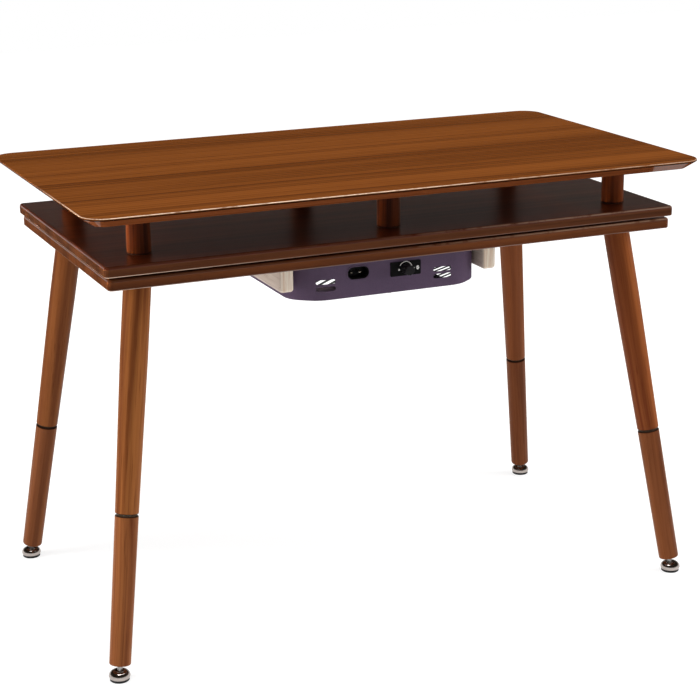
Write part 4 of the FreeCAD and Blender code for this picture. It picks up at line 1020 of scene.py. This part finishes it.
# %% Wound wire
def wind(piece, steps, pitch, turns):
    """Carry the active piece's outline round the Z axis and up, with the Screw modifier."""
    bpy.ops.object.transform_apply(location=True, rotation=True, scale=True)
    winding = piece.modifiers.new("Winding", "SCREW")
    winding.steps = winding.render_steps = steps
    winding.screw_offset = pitch
    winding.iterations = turns
    bpy.ops.object.modifier_apply(modifier=winding.name)


wound_radius, wire_radius = 0.00295, 0.00045
turns, wound_length = 100, 0.224
nothing_selected()
bpy.ops.mesh.primitive_circle_add(vertices=8, radius=wire_radius, rotation=(math.radians(90), 0, 0),
                                  location=(wound_radius, 0, -wound_length / 2))
coil = bpy.context.object
wind(coil, 14, wound_length / turns, turns)
print("coil of", turns, "turns has", len(coil.data.vertices), "points")

# %% Tails of the wire
tail_end, tail_bend = 0.126, 0.003
tail_length = tail_end - wound_length / 2 - tail_bend
in_plane = 1e-5
bpy.ops.object.mode_set(mode="EDIT")
for end in (-1, 1):
    centre = Vector((wound_radius, 0, end * wound_length / 2))
    pick(coil, "vertices", lambda vertex: (vertex.co - centre).length < 1.2 * wire_radius
         and abs(vertex.co.y) < in_plane)
    bpy.ops.mesh.edge_face_add()
    for step in ((-wound_radius, 0, end * tail_bend), (0, 0, end * tail_length)):
        bpy.ops.mesh.extrude_region_move(TRANSFORM_OT_translate={"value": step})
bpy.ops.mesh.select_all(action="SELECT")
bpy.ops.mesh.normals_make_consistent(inside=False)
bpy.ops.object.mode_set(mode="OBJECT")
coil.rotation_euler = (0, math.radians(90), 0)
tube_low, tube_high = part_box("quartz_tube_front")
tube_y, tube_z = (tube_low.y + tube_high.y) / 2, (tube_low.z + tube_high.z) / 2
rear_coil = twin(coil)
coil.location = (0, tube_y, tube_z)
rear_coil.location = (0, -tube_y, tube_z)
coils = joined([coil, rear_coil])
finish_piece(coils, "wound_coils", "base", coil_metal, 60)
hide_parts("heating_coils")

# %% [markdown]
# ### Threaded stems
# Each level pad turns on a stem with a ball foot. The ball is a sphere, the core a cylinder whose end is
# bevelled, and the thread is a small triangle that the Screw modifier winds up the core. One stem is made
# along Z and copied for three of the legs, the fourth gets the stem itself, and each is tilted to its leg.

# %% Stem core and ball
stem_length, core_start, core_radius, crest_radius = 0.04067, 0.004, 0.00345, 0.0040
ball_radius, neck_height = 0.006, 0.0052
nothing_selected()
bpy.ops.mesh.primitive_cylinder_add(vertices=32, radius=core_radius, depth=stem_length - core_start,
                                    location=(0, 0, (stem_length + core_start) / 2))
core = open_for_edit()
pick_edges(core, lambda end: end.z > stem_length - near)
bpy.ops.mesh.bevel(offset=0.0006, segments=2)
bpy.ops.object.mode_set(mode="OBJECT")
nothing_selected()
bpy.ops.mesh.primitive_uv_sphere_add(segments=32, ring_count=18, radius=ball_radius)
ball = bpy.context.object
bpy.ops.object.mode_set(mode="EDIT")
pick(ball, "vertices", lambda vertex: vertex.co.z > neck_height)
bpy.ops.transform.resize(value=(1, 1, 0.85), center_override=(0, 0, 0))
bpy.ops.object.mode_set(mode="OBJECT")
print("core and ball have", len(core.data.polygons), "and", len(ball.data.polygons), "faces")

# %% Thread
thread_start, thread_turns, pitch, thread_foot = 0.0066, 26, 0.00125, 0.0011
thread_depth = (crest_radius - core_radius + near) / 1.5
nothing_selected()
bpy.ops.mesh.primitive_circle_add(vertices=3, radius=1, rotation=(0, math.radians(90), math.radians(-90)))
thread = bpy.context.object
thread.scale = (thread_foot / math.sqrt(3), thread_depth, 1)
thread.location = (crest_radius - thread_depth, 0, thread_start)
wind(thread, 18, pitch, thread_turns)
bpy.ops.object.mode_set(mode="EDIT")
for height in (thread_start, thread_start + thread_turns * pitch):
    pick(thread, "vertices", lambda vertex: vertex.co.x > 0 and abs(vertex.co.y) < in_plane
         and abs(vertex.co.z - height) < 0.0006)
    bpy.ops.mesh.edge_face_add()
bpy.ops.mesh.select_all(action="SELECT")
bpy.ops.mesh.normals_make_consistent(inside=False)
bpy.ops.object.mode_set(mode="OBJECT")
stem = joined([core, ball, thread])
print("stem with thread has", len(stem.data.polygons), "faces")

# %% Stems in their places
ball_height = 0.009
for index, corner in enumerate(corners):
    foot, head = leg_ends(corner)
    copy = twin(stem) if index < 3 else stem
    copy.rotation_mode = "QUATERNION"
    copy.rotation_quaternion = Vector((0, 0, 1)).rotation_difference(head - foot)
    place = foot + (head - foot) * (ball_height / leg_head.z)
    finish_piece(copy, "threaded_stem_" + corner, "stem_" + corner, stem_steel, 30, place=place)
    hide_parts("glide_stem_" + corner)
